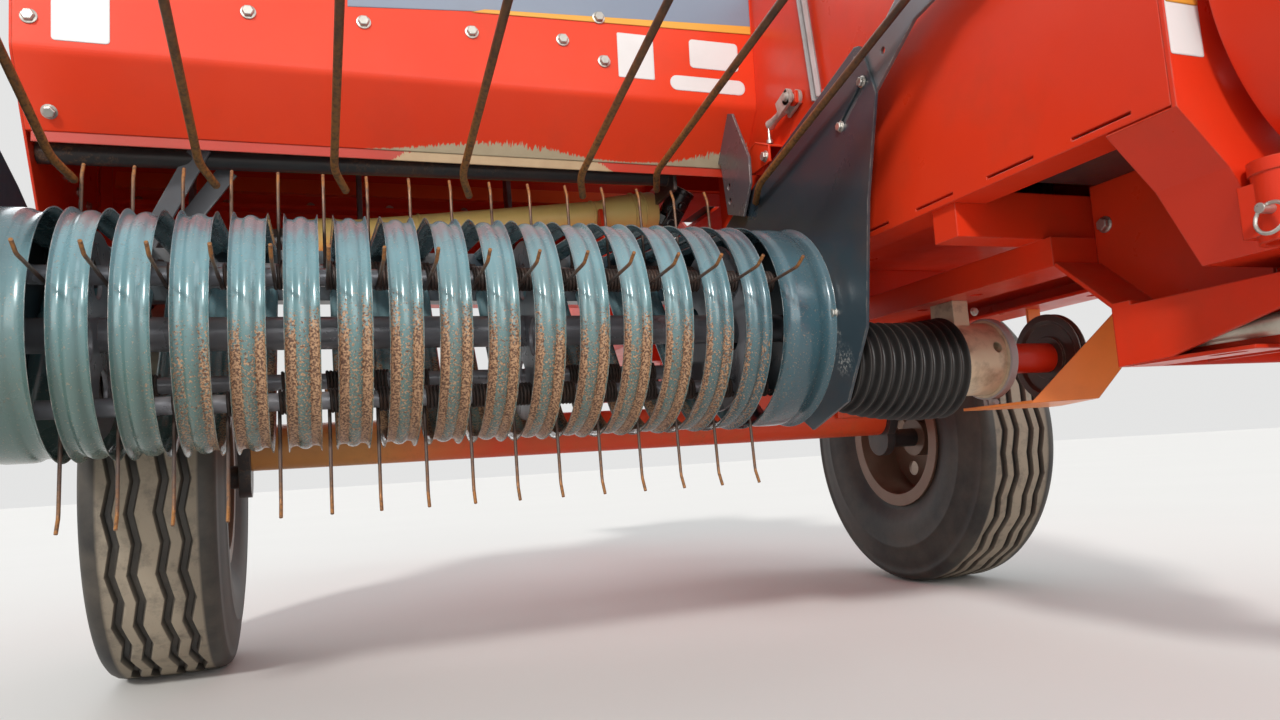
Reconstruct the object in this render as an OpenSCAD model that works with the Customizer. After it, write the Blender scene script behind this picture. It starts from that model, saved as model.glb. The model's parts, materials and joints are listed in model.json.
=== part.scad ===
// Small rectangular baler with an offset pickup, parked on its jack.
// Millimetres. +Z is up, -Y is the direction of travel, +X is the left hand of
// the machine. Heights are above the ground. Places along X and Y are measured
// from a datum between the axle ends, and the whole model is then moved so
// that its origin lies under the middle of its outline.

/* [Wheels] */
// Outer radius of the tyres
tyre_r = 378; // [366:1:380]
// Section width of the tyres
tyre_w = 226; // [200:1:236]
// Depth of the tread grooves
groove_d = 11; // [6:1:16]
// Width of a tread groove
groove_w = 13; // [8:1:18]
// Distance from the datum back to the axle
axle_y = 130; // [128:1:160]
// Distance from the bale case out to the left tyre
wheel_gap = 98; // [90:1:150]
// Distance from the right pickup plate in to the middle of the right wheel
wheel_inset = 160; // [150:1:170]
// Outer radius of the rim flanges
rim_r = 181; // [176:1:190]
// Radius of the stub axles
spindle_r = 24; // [20:1:30]
// Radius of the axle cross tube
axle_tube_r = 48; // [40:1:50]
// Height of the axle cross tube above the wheel centres
axle_tube_rise = 59; // [50:1:70]

/* [Pickup] */
// Place of the reel axis along the machine
reel_y = -513; // [-540:1:-512]
// Height of the reel axis
reel_z = 581; // [575:1:600]
// Outer radius of the stripper bands
band_r = 178; // [172:1:184]
// Width of one stripper band
band_w = 46; // [40:1:50]
// Distance from one band to the next
band_pitch = 67.6; // [66:0.1:70]
// Thickness of the band sheet
band_t = 2.5; // [2:0.5:4]
// Depth of the pressed channel in a band
band_press = 9; // [5:1:12]
// Number of bands between the two wide end bands
band_count = 15; // [9:1:15]
// Radius of the circle of the tine bars
bar_circle_r = 125; // [115:1:130]
// Radius of a tine bar
bar_r = 13; // [10:1:15]
// Straight length of a tine from its coil
tine_len = 164; // [120:1:165]
// Thickness of the tine wire
tine_d = 6.4; // [5:0.2:8]
// Angle by which a tine trails its bar
tine_lag = 26; // [15:1:35]
// Turn of the first tine bar from straight up
bar_turn = 60; // [40:1:80]
// Radius of the reel shaft
reel_shaft_r = 25; // [20:1:30]
// Width of the wide bands at the two ends
end_band_w = 98; // [94:1:104]
// Thickness of the pickup plates
plate_t = 5; // [4:1:8]

/* [Wind guard] */
// Place of the guard bar along the machine
guard_y = -1100; // [-1120:1:-1090]
// Height of the guard bar
guard_z = 1010; // [1000:1:1030]
// Radius of the guard bar
guard_r = 14; // [10:1:18]
// Radius of a guard rod
guard_rod_r = 6; // [4:0.5:8]
// Distance from one guard rod to the next
guard_pitch = 195.6; // [195:0.1:197]
// Number of guard rods that are evenly spaced
guard_count = 6; // [4:1:6]

/* [Feed housing] */
// Clearance between the right tyre and the top of the feed floor
floor_gap = 28; // [24:1:44]
// Height of the fold along the front of the hood
hood_fold_z = 1052; // [1040:1:1070]
// Place of that fold along the machine
hood_fold_y = -390; // [-395:1:-380]
// Height of the top of the hood
hood_top_z = 1330; // [1250:1:1400]
// Place of the rear wall of the feed housing
feed_rear_y = 260; // [240:1:300]
// Depth of the lip that the hood turns in along its lower edge
hood_lip = 20; // [12:1:22]
// Radius of the folds of the hood and of the crank housing
fold_r = 30; // [10:1:40]
// Thickness of folded sheet
sheet_t = 4; // [3:1:6]

/* [Bale case] */
// Distance from the left pickup plate to the bale case
case_gap = 48; // [44:1:60]
// Width of the bale case outside
case_w = 500; // [480:1:510]
// Thickness of the bale case walls
case_t = 8; // [6:1:12]
// Height of the bale case floor inside
case_floor_z = 722; // [715:1:730]
// Inside height of the bale case
case_h = 360; // [340:1:380]
// Place of the knotter shaft along the machine
knotter_y = 510; // [500:1:520]
// Front face of the crank housing
case_front_y = -1285; // [-1300:1:-1270]
// Rear end of the bale case
case_rear_y = 1420; // [1380:1:1500]
// Length of the bale chute
chute_len = 430; // [300:1:480]
// Width of the flange along the lower edge of the right panel
skirt_w = 62; // [40:1:70]
// Depth of the flange that the front panel turns back
front_flange = 85; // [60:1:90]

/* [Frame] */
// Distance from the bale case in to the right rail
rail_inset = 160; // [140:1:170]
// Width of a frame rail
rail_w = 85; // [70:1:85]
// Height of a frame rail
rail_h = 44; // [36:1:60]
// Height of the underside of the frame rails
rail_z = 601; // [596:1:606]
// Front end of the frame rails
rail_front_y = -945; // [-950:1:-940]
// Rear end of the frame rails
rail_rear_y = 560; // [500:1:570]
// Rear wall of the box under the front of the rails
box_rear_y = -1035; // [-1045:1:-1030]
// Height of the underside of that box
box_low_z = 442; // [440:1:448]
// Height of the top of that box
box_high_z = 522; // [515:1:525]
// Thickness of the frame plates
frame_t = 6; // [4:1:8]

/* [Drawbar] */
// Place of the drawbar pivot along the machine
pivot_y = -1395; // [-1430:1:-1380]
// Length from the pivot to the hitch pin
drawbar_len = 1560; // [1400:1:1700]
// Width of the drawbar beam
drawbar_w = 100; // [80:1:120]
// Height of the drawbar beam
drawbar_h = 95; // [80:1:96]
// Height of the underside of the drawbar beam
drawbar_z = 430; // [430:1:440]
// Radius of the hitch pin hole
hitch_r = 15; // [12:0.5:20]
// Distance from the hitch pin back to the jack
jack_back = 270; // [220:1:400]
// Outer radius of the jack sleeve
jack_r = 34; // [30:1:40]

/* [Drive] */
// Height of the flywheel centre
fly_z = 832; // [828:1:850]
// Radius of the flywheel
fly_r = 235; // [200:1:250]
// Distance from the front of the crank housing to the middle of the flywheel
fly_gap = 67; // [60:1:80]
// Place of the pickup drive shaft along the machine
drive_y = -650; // [-660:1:-640]
// Height of the pickup drive shaft
drive_z = 500; // [495:1:505]
// Outer radius of the bellows
bellows_r = 79; // [70:1:82]
// Distance from the bale case to the end of the bellows
bellows_end = 180; // [170:1:185]
// Radius of the hub behind the bellows
hub_r = 64; // [58:1:66]
// Length of that hub
hub_len = 105; // [95:1:110]
// Radius of the tube to the gearbox side
tube_r = 27; // [20:1:30]
// Radius of the belt disc at the end of that tube
disc_r = 80; // [70:1:80]
// Width of that disc
disc_w = 16; // [14:1:18]
// Number of folds in the bellows
bellows_folds = 12; // [8:1:14]

/* [Hidden] */
$fn = 48;
fit = 0.3;
run = 0.05;
feed_floor_z = 2 * tyre_r + floor_gap;
tine_x0 = -300;
tine_gap = 10;
band_x0 = tine_x0 + band_pitch / 2;
last_tine_x = tine_x0 + band_count * band_pitch;
plate_right_x = tine_x0 - tine_gap - end_band_w;
plate_left_x = last_tine_x + tine_gap + end_band_w;
feed_right_x = plate_right_x - 1;
case_right_x = plate_left_x + case_gap;
case_left_x = case_right_x + case_w;
case_mid_x = (case_right_x + case_left_x) / 2;
pivot_x = case_mid_x + 15;
fly_x = pivot_x;
fly_y = case_front_y - fly_gap;
wheel_left_x = case_left_x + wheel_gap + tyre_w / 2;
wheel_right_x = plate_right_x + wheel_inset;
rail_right_x = case_right_x + rail_inset;
rail_left_x = case_left_x - rail_w;
hub_x = case_right_x + bellows_end;
skirt_z = case_floor_z - 28;
gearbox_low_z = fly_z - 110;
cross_w = 50;
cross_y = [-930, -420, 60, 480];
box_z = 417;
case_roof_z = case_floor_z + case_h;
housing_low_top_z = case_roof_z + 98;
housing_top_z = case_roof_z + 208;
hood_rear_z = case_roof_z + 98;
chute_y = case_rear_y + 20;
chute_hinge_z = 700;
hitch_y = pivot_y - drawbar_len;
jack_y = hitch_y + jack_back;
tube_z = tyre_r + axle_tube_rise;
front_y = hitch_y - 40;
rear_y = chute_y + chute_len;
right_x = plate_right_x - plate_t - 30;
left_x = wheel_left_x + tyre_w / 2;
shift_x = -(right_x + left_x) / 2;
shift_y = -(front_y + rear_y) / 2;

// General shapes

module block(x0, x1, y0, y1, z0, z1) {
  translate([x0, y0, z0])
    cube([x1 - x0, y1 - y0, z1 - z0]);
}

// A round bar along X
module bar_x(r, x0, x1, y, z) {
  translate([x0, y, z])
    rotate([0, 90, 0])
      cylinder(h = x1 - x0, r = r);
}

// A round bar along Y
module bar_y(r, y0, y1, x, z) {
  translate([x, y0, z])
    rotate([-90, 0, 0])
      cylinder(h = y1 - y0, r = r);
}

// A round bar along Z
module bar_z(r, z0, z1, x, y) {
  translate([x, y, z0])
    cylinder(h = z1 - z0, r = r);
}

// An outline in Y and Z, drawn out along X
module slab_x(x0, x1) {
  translate([x0, 0, 0])
    rotate([90, 0, 90])
      linear_extrude(height = x1 - x0)
        children();
}

// An outline in X and Z, drawn out along Y
module slab_y(y0, y1) {
  translate([0, y1, 0])
    rotate([90, 0, 0])
      linear_extrude(height = y1 - y0)
        children();
}

// Outline of a slot from a to b
module slot(a, b, r) {
  across = [a[1] - b[1], b[0] - a[0]] / norm(b - a) * r;
  for (p = [a, b])
    translate(p)
      circle(r = r);
  polygon([a + across, b + across, b - across, a - across]);
}

// Left-hand normal of the line from one point to the next
function normal_of(a, b) = let (d = (b - a) / norm(b - a)) [-d[1], d[0]];

// A path moved sideways by t, with mitred corners
function inset_path(p, t) = [
  for (i = [0:len(p) - 1])
    let (
      n0 = i > 0 ? normal_of(p[i - 1], p[i]) : normal_of(p[0], p[1]),
      n1 = i < len(p) - 1 ? normal_of(p[i], p[i + 1]) : n0
    )
    p[i] + (n0 + n1) * t / (1 + n0 * n1)
];

// The points of a rounded fold at b, on the way from a to c
function fold_points(a, b, c, r) =
  let (
    u = (a - b) / norm(a - b),
    v = (c - b) / norm(c - b),
    reach = r / tan(acos(u * v) / 2)
  )
  [for (k = [0:0.25:1]) b + (1 - k) * (1 - k) * reach * u + k * k * reach * v];

// Section of a sheet of thickness t, folded along a path
module sheet(p, t) {
  back = inset_path(p, t);
  polygon(concat(p, [for (i = [len(p) - 1:-1:0]) back[i]]));
}

// A profile of radius and distance along the axis, turned about an X axis
module turned_x(x, y, z) {
  translate([x, y, z])
    rotate([0, 90, 0])
      rotate_extrude($fn = 96)
        children();
}

// A round bar from one point to another
module rod(a, b, r) {
  d = b - a;
  len = norm(d);
  translate(a)
    rotate([0, acos(d[2] / len), atan2(d[1], d[0])])
      cylinder(h = len, r = r, $fn = 16);
}

// Axle

module axle_tube() {
  color("orangered") {
    bar_x(axle_tube_r, wheel_right_x + tyre_w / 2 + 27, wheel_left_x - tyre_w / 2 - 27, axle_y, tube_z);
    for (x = [rail_right_x, rail_left_x])
      difference() {
        block(x, x + rail_w, axle_y - 60, axle_y + 60, tube_z, rail_z);
        bar_x(axle_tube_r - 1, x - 1, x + rail_w + 1, axle_y, tube_z);
      }
  }
}

module axle_end(inner_x, side) {
  // The bracket plate, bolted to the tube's end, and the stub axle it carries
  plate_w = 24;
  x0 = side > 0 ? inner_x : inner_x - plate_w;
  bar_x(axle_tube_r + 16, x0, x0 + plate_w, axle_y, tube_z);
  bar_x(spindle_r + 20, x0, x0 + plate_w, axle_y, tyre_r);
  block(x0, x0 + plate_w, axle_y - spindle_r - 20, axle_y + spindle_r + 20, tyre_r, tube_z);
}

module axle_brackets() {
  color("dimgray") {
    axle_end(wheel_left_x - tyre_w / 2 - 27, 1);
    bar_x(spindle_r, wheel_left_x - tyre_w / 2 - 27, wheel_left_x + 40, axle_y, tyre_r);
    axle_end(wheel_right_x + tyre_w / 2 + 27, -1);
    bar_x(spindle_r, wheel_right_x - 40, wheel_right_x + tyre_w / 2 + 27, axle_y, tyre_r);
  }
}

// Frame under the bale case

// A channel that opens towards the middle of the machine, with a closed front
module rail(x, opening) {
  difference() {
    block(x, x + rail_w, rail_front_y, rail_rear_y, rail_z, rail_z + rail_h);
    block(
      x + (opening > 0 ? frame_t : -1), x + rail_w + (opening > 0 ? 1 : -frame_t),
      rail_front_y + frame_t, rail_rear_y + 1, rail_z + frame_t, rail_z + rail_h - frame_t
    );
    for (y = [-730, -585])
      bar_z(11, rail_z - 1, rail_z + frame_t + 1, x + rail_w / 2, y);
  }
}

module frame_rails() {
  color("orangered") {
    rail(rail_right_x, 1);
    rail(rail_left_x, -1);
    for (y = cross_y)
      block(case_right_x + case_t, case_left_x - case_t, y, y + cross_w, rail_z + rail_h, case_floor_z - case_t);
  }
}

module pivot_ear(z0, z1) {
  difference() {
    union() {
      block(pivot_x - 80, pivot_x + 80, pivot_y, case_front_y, z0, z1);
      bar_z(80, z0, z1, pivot_x, pivot_y);
    }
    bar_z(25 + fit, z0 - 1, z1 + 1, pivot_x, pivot_y);
  }
}

// A side plate of the front box, whose lower edge rises towards the front
module box_side(x) {
  slab_x(x, x + frame_t)
    polygon([
      [box_rear_y, box_low_z], [box_rear_y - 79, box_low_z + 4], [case_front_y, box_low_z + 48],
      [case_front_y, box_high_z], [box_rear_y, box_high_z]
    ]);
}

// The plate that slopes from a rail's front end down to the box, with a foot that lies on it
module neck(x) {
  slab_x(x, x + rail_w)
    sheet([[rail_front_y, rail_z], [box_rear_y, box_high_z], [box_rear_y - 30, box_high_z]], -frame_t);
}

// The upright plate that carries the gearbox, behind the front panel's flange
module web(x) {
  flange_back_y = case_front_y + front_flange + 2;
  slab_x(x, x + frame_t)
    polygon([
      [rail_front_y, rail_z], [rail_front_y, gearbox_low_z], [flange_back_y, gearbox_low_z],
      [flange_back_y, box_high_z], [box_rear_y, box_high_z]
    ]);
}

module frame_front_box() {
  right = rail_right_x + frame_t;
  left = case_left_x - frame_t;
  color("orangered") {
    box_side(rail_right_x);
    box_side(left);
    for (x = [rail_right_x, rail_left_x])
      neck(x);
    web(rail_right_x + rail_w);
    web(rail_left_x - frame_t);
    block(right, left, case_front_y, box_rear_y, box_high_z - frame_t, box_high_z);
    block(right, left, box_rear_y - frame_t, box_rear_y, box_low_z, box_high_z - frame_t);
    block(right, left, case_front_y, case_front_y + 12, box_z - 5, drawbar_z + drawbar_h + 16);
    translate([0, 0, box_low_z])
      linear_extrude(height = 5)
        difference() {
          translate([right, box_rear_y - 185])
            square([64, 185 - frame_t]);
          slot([right + 20, box_rear_y - 150], [right + 20, box_rear_y - 120], 9);
        }
    for (x = [pivot_x - 60, pivot_x + 60 - frame_t])
      block(x, x + frame_t, case_front_y + 12, box_rear_y - frame_t, box_low_z + 4, box_high_z - frame_t);
    pivot_ear(box_z - 5, drawbar_z - 6);
    pivot_ear(drawbar_z + drawbar_h + 5, drawbar_z + drawbar_h + 16);
  }
}

// A light pipe that braces the box from inside
module brace_pipe() {
  color("silver")
    bar_y(13, case_front_y + 12, box_rear_y - 90, rail_right_x + frame_t + 16, box_low_z + 26);
}

module pivot_pin() {
  color("dimgray") {
    bar_z(25, box_z - 15, drawbar_z + drawbar_h + 16, pivot_x, pivot_y);
    bar_z(36, drawbar_z + drawbar_h + 16, drawbar_z + drawbar_h + 30, pivot_x, pivot_y);
  }
}

socket_x = case_right_x + 96;

module stand_socket() {
  color("red") {
    difference() {
      union() {
        bar_z(30, 540, 612, socket_x, case_front_y - 40);
        block(socket_x - 26, socket_x + 26, case_front_y - 30, case_front_y - 6, 548, 604);
      }
      bar_z(24, 539, 600, socket_x, case_front_y - 40);
    }
    bar_z(32, 612, 626, socket_x, case_front_y - 40);
  }
}

// The floor under the drive, a strut bent up from it, and a strap behind
module underside_tray() {
  fold = [hub_x + 72, drive_y - 122];
  turn = -40;
  rise = rail_z - box_z + 5;
  strap_x = rail_left_x + disc_w + 4;
  color("orange") {
    translate([0, 0, box_z - 5])
      linear_extrude(height = 5)
        polygon([
          fold, fold + 101 * [cos(turn), sin(turn)], [strap_x + 30, drive_y - 187],
          [strap_x + 30, drive_y + 60], [hub_x + 87, drive_y + 60]
        ]);
    translate([fold[0], fold[1], box_z - 5])
      rotate([0, 0, turn])
        rotate([90, 0, 0])
          linear_extrude(height = 5)
            polygon([[0, 0], [101, 0], [101 + rise * 0.83, rise], [rise * 1.01, rise]]);
    block(strap_x, strap_x + 30, drive_y + 55, drive_y + 60, box_z, rail_z);
  }
}

// Crank housing and bale case

// The outline of the crank housing from its front edge over the top to the case roof
function housing_path() = let (
  front = [case_front_y, housing_low_top_z],
  crown = [case_front_y + 185, housing_top_z],
  back = [-300, housing_top_z],
  low = [feed_rear_y - 140, housing_low_top_z],
  rear = [feed_rear_y, case_roof_z + 10]
) concat([front], fold_points(front, crown, back, fold_r), fold_points(crown, back, low, fold_r), [low, rear]);

slot_y = [-1236, -1091, -938, -785];
slot_len = 84;

module housing_side(x0) {
  slab_x(x0, x0 + case_t)
    polygon(concat(
      [[case_rear_y, case_roof_z + 10], [case_rear_y, skirt_z], [case_front_y, skirt_z]],
      housing_path()
    ));
}

module housing_right_panel() {
  // The feed opening is cut where the feed floor meets the bale case. The lower
  // edge is turned in, with slots along the fold and notches for the cross bars.
  color("orangered")
    difference() {
      union() {
        housing_side(case_right_x);
        block(case_right_x + case_t, case_right_x + skirt_w, case_front_y, -20, skirt_z, skirt_z + frame_t);
      }
      block(case_right_x - 1, case_right_x + case_t + 1, -190, feed_rear_y - sheet_t, feed_floor_z, case_roof_z - 10);
      for (y = [cross_y[0], cross_y[1]])
        block(case_right_x + case_t, case_right_x + skirt_w + 1, y - 1, y + cross_w + 1, skirt_z - 1, skirt_z + 7);
      for (y = slot_y)
        block(case_right_x - 1, case_right_x + case_t + 1, y, y + slot_len, skirt_z + 9, skirt_z + 13);
    }
}

module housing_left_panel() {
  color("orangered")
    housing_side(case_left_x - case_t);
}

module housing_front_panel() {
  // The lower right corner is cut off, and the edge there is turned back
  corner = [
    [case_right_x, skirt_z - 4], [case_right_x + 65, skirt_z - 66], [case_right_x + 124, skirt_z - 152],
    [case_left_x - 60, skirt_z - 152]
  ];
  color("darkorange") {
    difference() {
      slab_y(case_front_y - 6, case_front_y)
        polygon(concat(
          [[case_right_x, housing_low_top_z]], corner,
          [[case_left_x, rail_z + 40], [case_left_x, housing_low_top_z]]
        ));
      bar_y(40, case_front_y - 10, case_front_y + 10, fly_x, fly_z);
    }
    slab_y(case_front_y, case_front_y + front_flange)
      sheet(corner, 5);
  }
}

module housing_top() {
  color("orangered")
    slab_x(case_right_x + case_t, case_left_x - case_t)
      sheet(housing_path(), -frame_t);
}

module gearbox() {
  color("dimgray") {
    block(fly_x - 130, fly_x + 150, case_front_y, case_front_y + 330, gearbox_low_z, fly_z + 170);
    bar_y(36, fly_y - 11, case_front_y, fly_x, fly_z);
  }
}

module plunger() {
  color("silver")
    difference() {
      block(case_right_x + case_t + 4, case_left_x - case_t - 4, -640, -230, case_floor_z, case_roof_z - 6);
      block(case_right_x + case_t + 30, case_left_x - case_t - 30, -641, -260, case_floor_z + 30, case_roof_z - 40);
    }
}

module case_floor() {
  color("orangered") {
    block(case_right_x + case_t, case_left_x - case_t, -900, case_rear_y, case_floor_z - case_t, case_floor_z);
    for (x = [case_right_x + 42, case_left_x - 57]) {
      slab_x(x, x + 15)
        polygon([
          [case_rear_y - 60, case_floor_z - case_t], [case_rear_y - 60, 686], [chute_y + 10, 686],
          [chute_y + 10, 712], [case_rear_y, case_floor_z - case_t + 1], [case_rear_y, case_floor_z - case_t]
        ]);
    }
    bar_x(8, case_right_x + 42, case_right_x + 110, chute_y, chute_hinge_z);
    bar_x(8, case_left_x - 110, case_left_x - 42, chute_y, chute_hinge_z);
  }
}

module case_roof() {
  color("orangered")
    difference() {
      block(case_right_x + case_t, case_left_x - case_t, 264, 720, case_roof_z, case_roof_z + 10);
      block(case_mid_x - 25, case_mid_x + 25, 380, 721, case_roof_z - 1, case_roof_z + 11);
    }
}

rail_y = [720, 1410];

module tension_rails() {
  color("orangered")
    for (x = [case_right_x + 60, case_mid_x - 100, case_mid_x + 60, case_left_x - 100])
      difference() {
        block(x, x + 40, rail_y[0], rail_y[1], case_roof_z - 20, case_roof_z + 20);
        block(x + 6, x + 41, rail_y[0] - 1, rail_y[1] + 1, case_roof_z - 14, case_roof_z + 21);
      }
}

// A pressure spring round a screw, with its coils close together
module spring(x, y, z0, z1) {
  coils = 7;
  pitch = (z1 - z0) / coils;
  translate([x, y, z0])
    rotate_extrude($fn = 32)
      polygon(concat(
        [[0, 0]],
        [for (i = [0:coils - 1]) each [[18, pitch * i], [26, pitch * (i + 0.3)], [26, pitch * (i + 0.7)]]],
        [[18, z1 - z0], [0, z1 - z0]]
      ));
}

press_y = case_rear_y - 95;

module tension_screws() {
  color("silver") {
    block(case_right_x, case_left_x, press_y - 25, press_y + 25, case_roof_z + 20, case_roof_z + 60);
    for (x = [case_right_x + 80, case_left_x - 80]) {
      bar_z(12, case_roof_z + 60, case_roof_z + 220, x, press_y);
      spring(x, press_y, case_roof_z + 60, case_roof_z + 150);
      bar_z(28, case_roof_z + 150, case_roof_z + 156, x, press_y);
      bar_x(9, x - 70, x + 70, press_y, case_roof_z + 220);
    }
  }
}

module knotter_frame() {
  color("orangered") {
    for (x = [case_right_x + 10, case_left_x - 30])
      block(x, x + 20, knotter_y - 110, knotter_y + 110, case_roof_z + 10, case_roof_z + 260);
    bar_x(22, case_right_x + 30, case_left_x - 30, knotter_y, case_roof_z + 170);
    for (x = [case_mid_x - 40, case_mid_x + 30])
      slab_x(x, x + 10)
        polygon([
          [650, case_roof_z + 10], [700, case_roof_z + 10], [star_y + 18, star_z - 12],
          [star_y + 18, star_z + 18], [star_y - 20, star_z + 18]
        ]);
    bar_x(star_pin_r, case_mid_x - 40, case_mid_x + 40, star_y, star_z);
  }
}

// A knotter: cam gear with a gap in its teeth, frame, and the disc that holds the twine
module knotters() {
  shaft_z = case_roof_z + 170;
  color("silver")
    for (x = [case_right_x + 150, case_left_x - 190])
      difference() {
        union() {
          slab_x(x, x + 20)
            difference() {
              union() {
                translate([knotter_y, shaft_z])
                  circle(r = 80);
                for (k = [2:18])
                  translate([knotter_y, shaft_z])
                    rotate(18 * k)
                      translate([78, 0])
                        square([14, 11], center = true);
              }
              for (k = [0:3])
                translate([knotter_y, shaft_z])
                  rotate(90 * k + 45)
                    translate([52, 0])
                      circle(r = 14);
            }
          slab_x(x + 20, x + 44)
            polygon([
              [knotter_y - 70, case_roof_z + 10], [knotter_y + 70, case_roof_z + 10],
              [knotter_y + 70, case_roof_z + 40], [knotter_y + 35, case_roof_z + 90], [knotter_y + 38, shaft_z + 20],
              [knotter_y - 40, shaft_z + 20], [knotter_y - 38, case_roof_z + 90], [knotter_y - 70, case_roof_z + 40]
            ]);
          bar_x(34, x + 44, x + 60, knotter_y - 32, case_roof_z + 60);
          bar_x(40, x + 44, x + 58, knotter_y, shaft_z);
        }
        bar_x(22 + fit, x - 1, x + 61, knotter_y, shaft_z);
      }
}

// Two curved needles on a yoke that swings about the sides of the case
module needle_yoke() {
  yoke_y = knotter_y + 130;
  yoke_z = case_floor_z - 162;
  hinge_y = knotter_y + 30;
  hinge_z = case_floor_z + 78;
  color("orangered") {
    bar_x(20, case_right_x - 50, case_left_x + 50, yoke_y, yoke_z);
    for (x = [case_right_x - 50, case_left_x + 30])
      slab_x(x, x + 20)
        polygon([
          [yoke_y - 20, yoke_z - 20], [yoke_y + 20, yoke_z - 20],
          [hinge_y + 20, hinge_z + 15], [hinge_y - 20, hinge_z + 15]
        ]);
    bar_x(18, case_right_x - 50, case_right_x, hinge_y, hinge_z);
    bar_x(18, case_left_x, case_left_x + 50, hinge_y, hinge_z);
    for (x = [case_right_x + 150, case_left_x - 180])
      slab_x(x, x + 16)
        polygon(concat(
          [for (a = [0:10:80]) [yoke_y + 15 - 100 * (1 - cos(a)), yoke_z + 130 * sin(a)]],
          [for (a = [80:-10:0]) [yoke_y - 15 - 74 * (1 - cos(a)), yoke_z + 126 * sin(a)]]
        ));
  }
}

// Feed housing

module feed_floor() {
  color("orangered")
    union() {
      block(feed_right_x, case_right_x, beam_y + 6, feed_rear_y, feed_floor_z - sheet_t, feed_floor_z);
      difference() {
        slab_x(pto_b[0] - 100, pto_b[0] - 92)
          polygon([
            [-190, feed_floor_z - 1], [-30, feed_floor_z - 1], [-60, feed_floor_z + 116], [-155, feed_floor_z + 116]
          ]);
        rod(pto_a, pto_b, 35 + fit);
      }
    }
}

module feed_rear_wall() {
  color("red") {
    block(feed_right_x + sheet_t, case_right_x, feed_rear_y - sheet_t, feed_rear_y, feed_floor_z, hood_rear_z - hood_skirt);
    block(feed_right_x + sheet_t, case_right_x, feed_rear_y - 40, feed_rear_y - sheet_t, 986, 996);
  }
}

module feed_end_plate() {
  color("red")
    slab_x(feed_right_x - sheet_t, feed_right_x)
      polygon(concat(
        [[beam_y + 6 + fit, feed_floor_z - 60], [beam_y + 6 + fit, feed_floor_z + 4]],
        hood_path(),
        [[feed_rear_y, feed_floor_z - 60]]
      ));
}

hood_low_y = hood_fold_y + 75;
hood_low_z = hood_fold_z - 105;
hood_back_y = 100;
hood_skirt = 30;

// The outline of the hood from its lower front edge to its rear edge
function hood_path() = let (
  low = [hood_low_y, hood_low_z],
  fold = [hood_fold_y, hood_fold_z],
  top = [hood_fold_y - 10, hood_top_z],
  back = [hood_back_y, hood_top_z],
  rear = [feed_rear_y, hood_rear_z]
) concat(
  [low], fold_points(low, fold, top, fold_r), fold_points(fold, top, back, fold_r),
  fold_points(top, back, rear, fold_r), [rear, [feed_rear_y, hood_rear_z - hood_skirt]]
);

module feeder_hood() {
  color("orangered")
    slab_x(feed_right_x, case_right_x)
      sheet(concat([[hood_low_y + hood_lip, hood_low_z]], hood_path()), -sheet_t);
}

// The place on the hood's sloping front at a height
function hood_front_y(z) = hood_fold_y + (hood_fold_z - z) * 75 / 105;

// A plate that stands on the hood's sloping front beside the pickup
module hood_bracket() {
  color("dimgray")
    difference() {
      slab_x(plate_left_x - 14, plate_left_x - 9)
        polygon([
          [hood_front_y(hood_fold_z - 14) - 0.2, hood_fold_z - 14], [hood_front_y(hood_low_z + 8) - 0.2, hood_low_z + 8],
          [hood_low_y - 18, hood_low_z], [hood_low_y - 34, hood_low_z - 108], [hood_low_y - 100, hood_low_z - 130],
          [hood_low_y - 139, hood_low_z - 75], [hood_low_y - 140, hood_low_z - 25], [hood_low_y - 84, hood_low_z + 84]
        ]);
      for (z = [hood_low_z - 54, hood_low_z - 84])
        bar_x(6, plate_left_x - 15, plate_left_x - 8, hood_low_y - 48, z);
    }
}

hanger_x = case_right_x - 150;

module feeder_pipe() {
  color("black") {
    bar_x(20, feed_right_x, hanger_x - 0.1, hood_low_y + 65, hood_low_z - 25);
    slab_x(hanger_x, hanger_x + 8)
      polygon([
        [hood_low_y + 25, hood_low_z - 67], [hood_low_y + 135, hood_low_z - 67],
        [hood_low_y + 135, hood_top_z - sheet_t], [hood_low_y + 25, hood_top_z - sheet_t]
      ]);
  }
}

fork_x = feed_right_x + 194;
fork_pitch = 330;

module feeder_forks() {
  color("gray") {
    z = hood_top_z - 150;
    block(feed_right_x + 60, case_right_x - 40, 40, 100, z, z + 60);
    for (k = [0:2])
      slab_x(fork_x + fork_pitch * k, fork_x + fork_pitch * k + 10)
        polygon([
          [30, feed_floor_z + 76], [60, feed_floor_z + 66], [90, z - 180], [90, z], [50, z], [50, z - 170]
        ]);
    for (k = [0, 2])
      block(fork_x + fork_pitch * k + 10, fork_x + fork_pitch * k + 60, 50, 80, z + 60, hood_top_z - sheet_t);
  }
}

module twine_box() {
  color("orangered")
    difference() {
      union() {
        block(box_x, case_right_x, box_y0, box_y1, 830, box_top_z);
        for (x = [box_x + 60, case_right_x - 100])
          lid_lug(x);
      }
      block(box_x + 8, case_right_x - 8, box_y0 + 8, box_y1 - 8, 838, box_top_z + 1);
    }
}

box_x = case_right_x - 540;
box_y0 = 300;
box_y1 = 640;
box_top_z = 1160;
lid_hinge_y = box_y1 + 14;
lid_hinge_z = box_top_z + 4;

// A lug with its half of a hinge pin
module lid_lug(x) {
  slab_x(x, x + 12)
    polygon([
      [box_y1 - 1, box_top_z - 60], [box_y1, box_top_z - 60], [lid_hinge_y + 9, lid_hinge_z - 20],
      [lid_hinge_y + 9, lid_hinge_z + 9], [lid_hinge_y - 9, lid_hinge_z + 9], [lid_hinge_y - 9, box_top_z - 20],
      [box_y1 - 1, box_top_z - 20]
    ]);
  bar_x(4, x, x + 36, lid_hinge_y, lid_hinge_z);
}

// The drive shaft, taken off and laid in the feed housing

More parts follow.
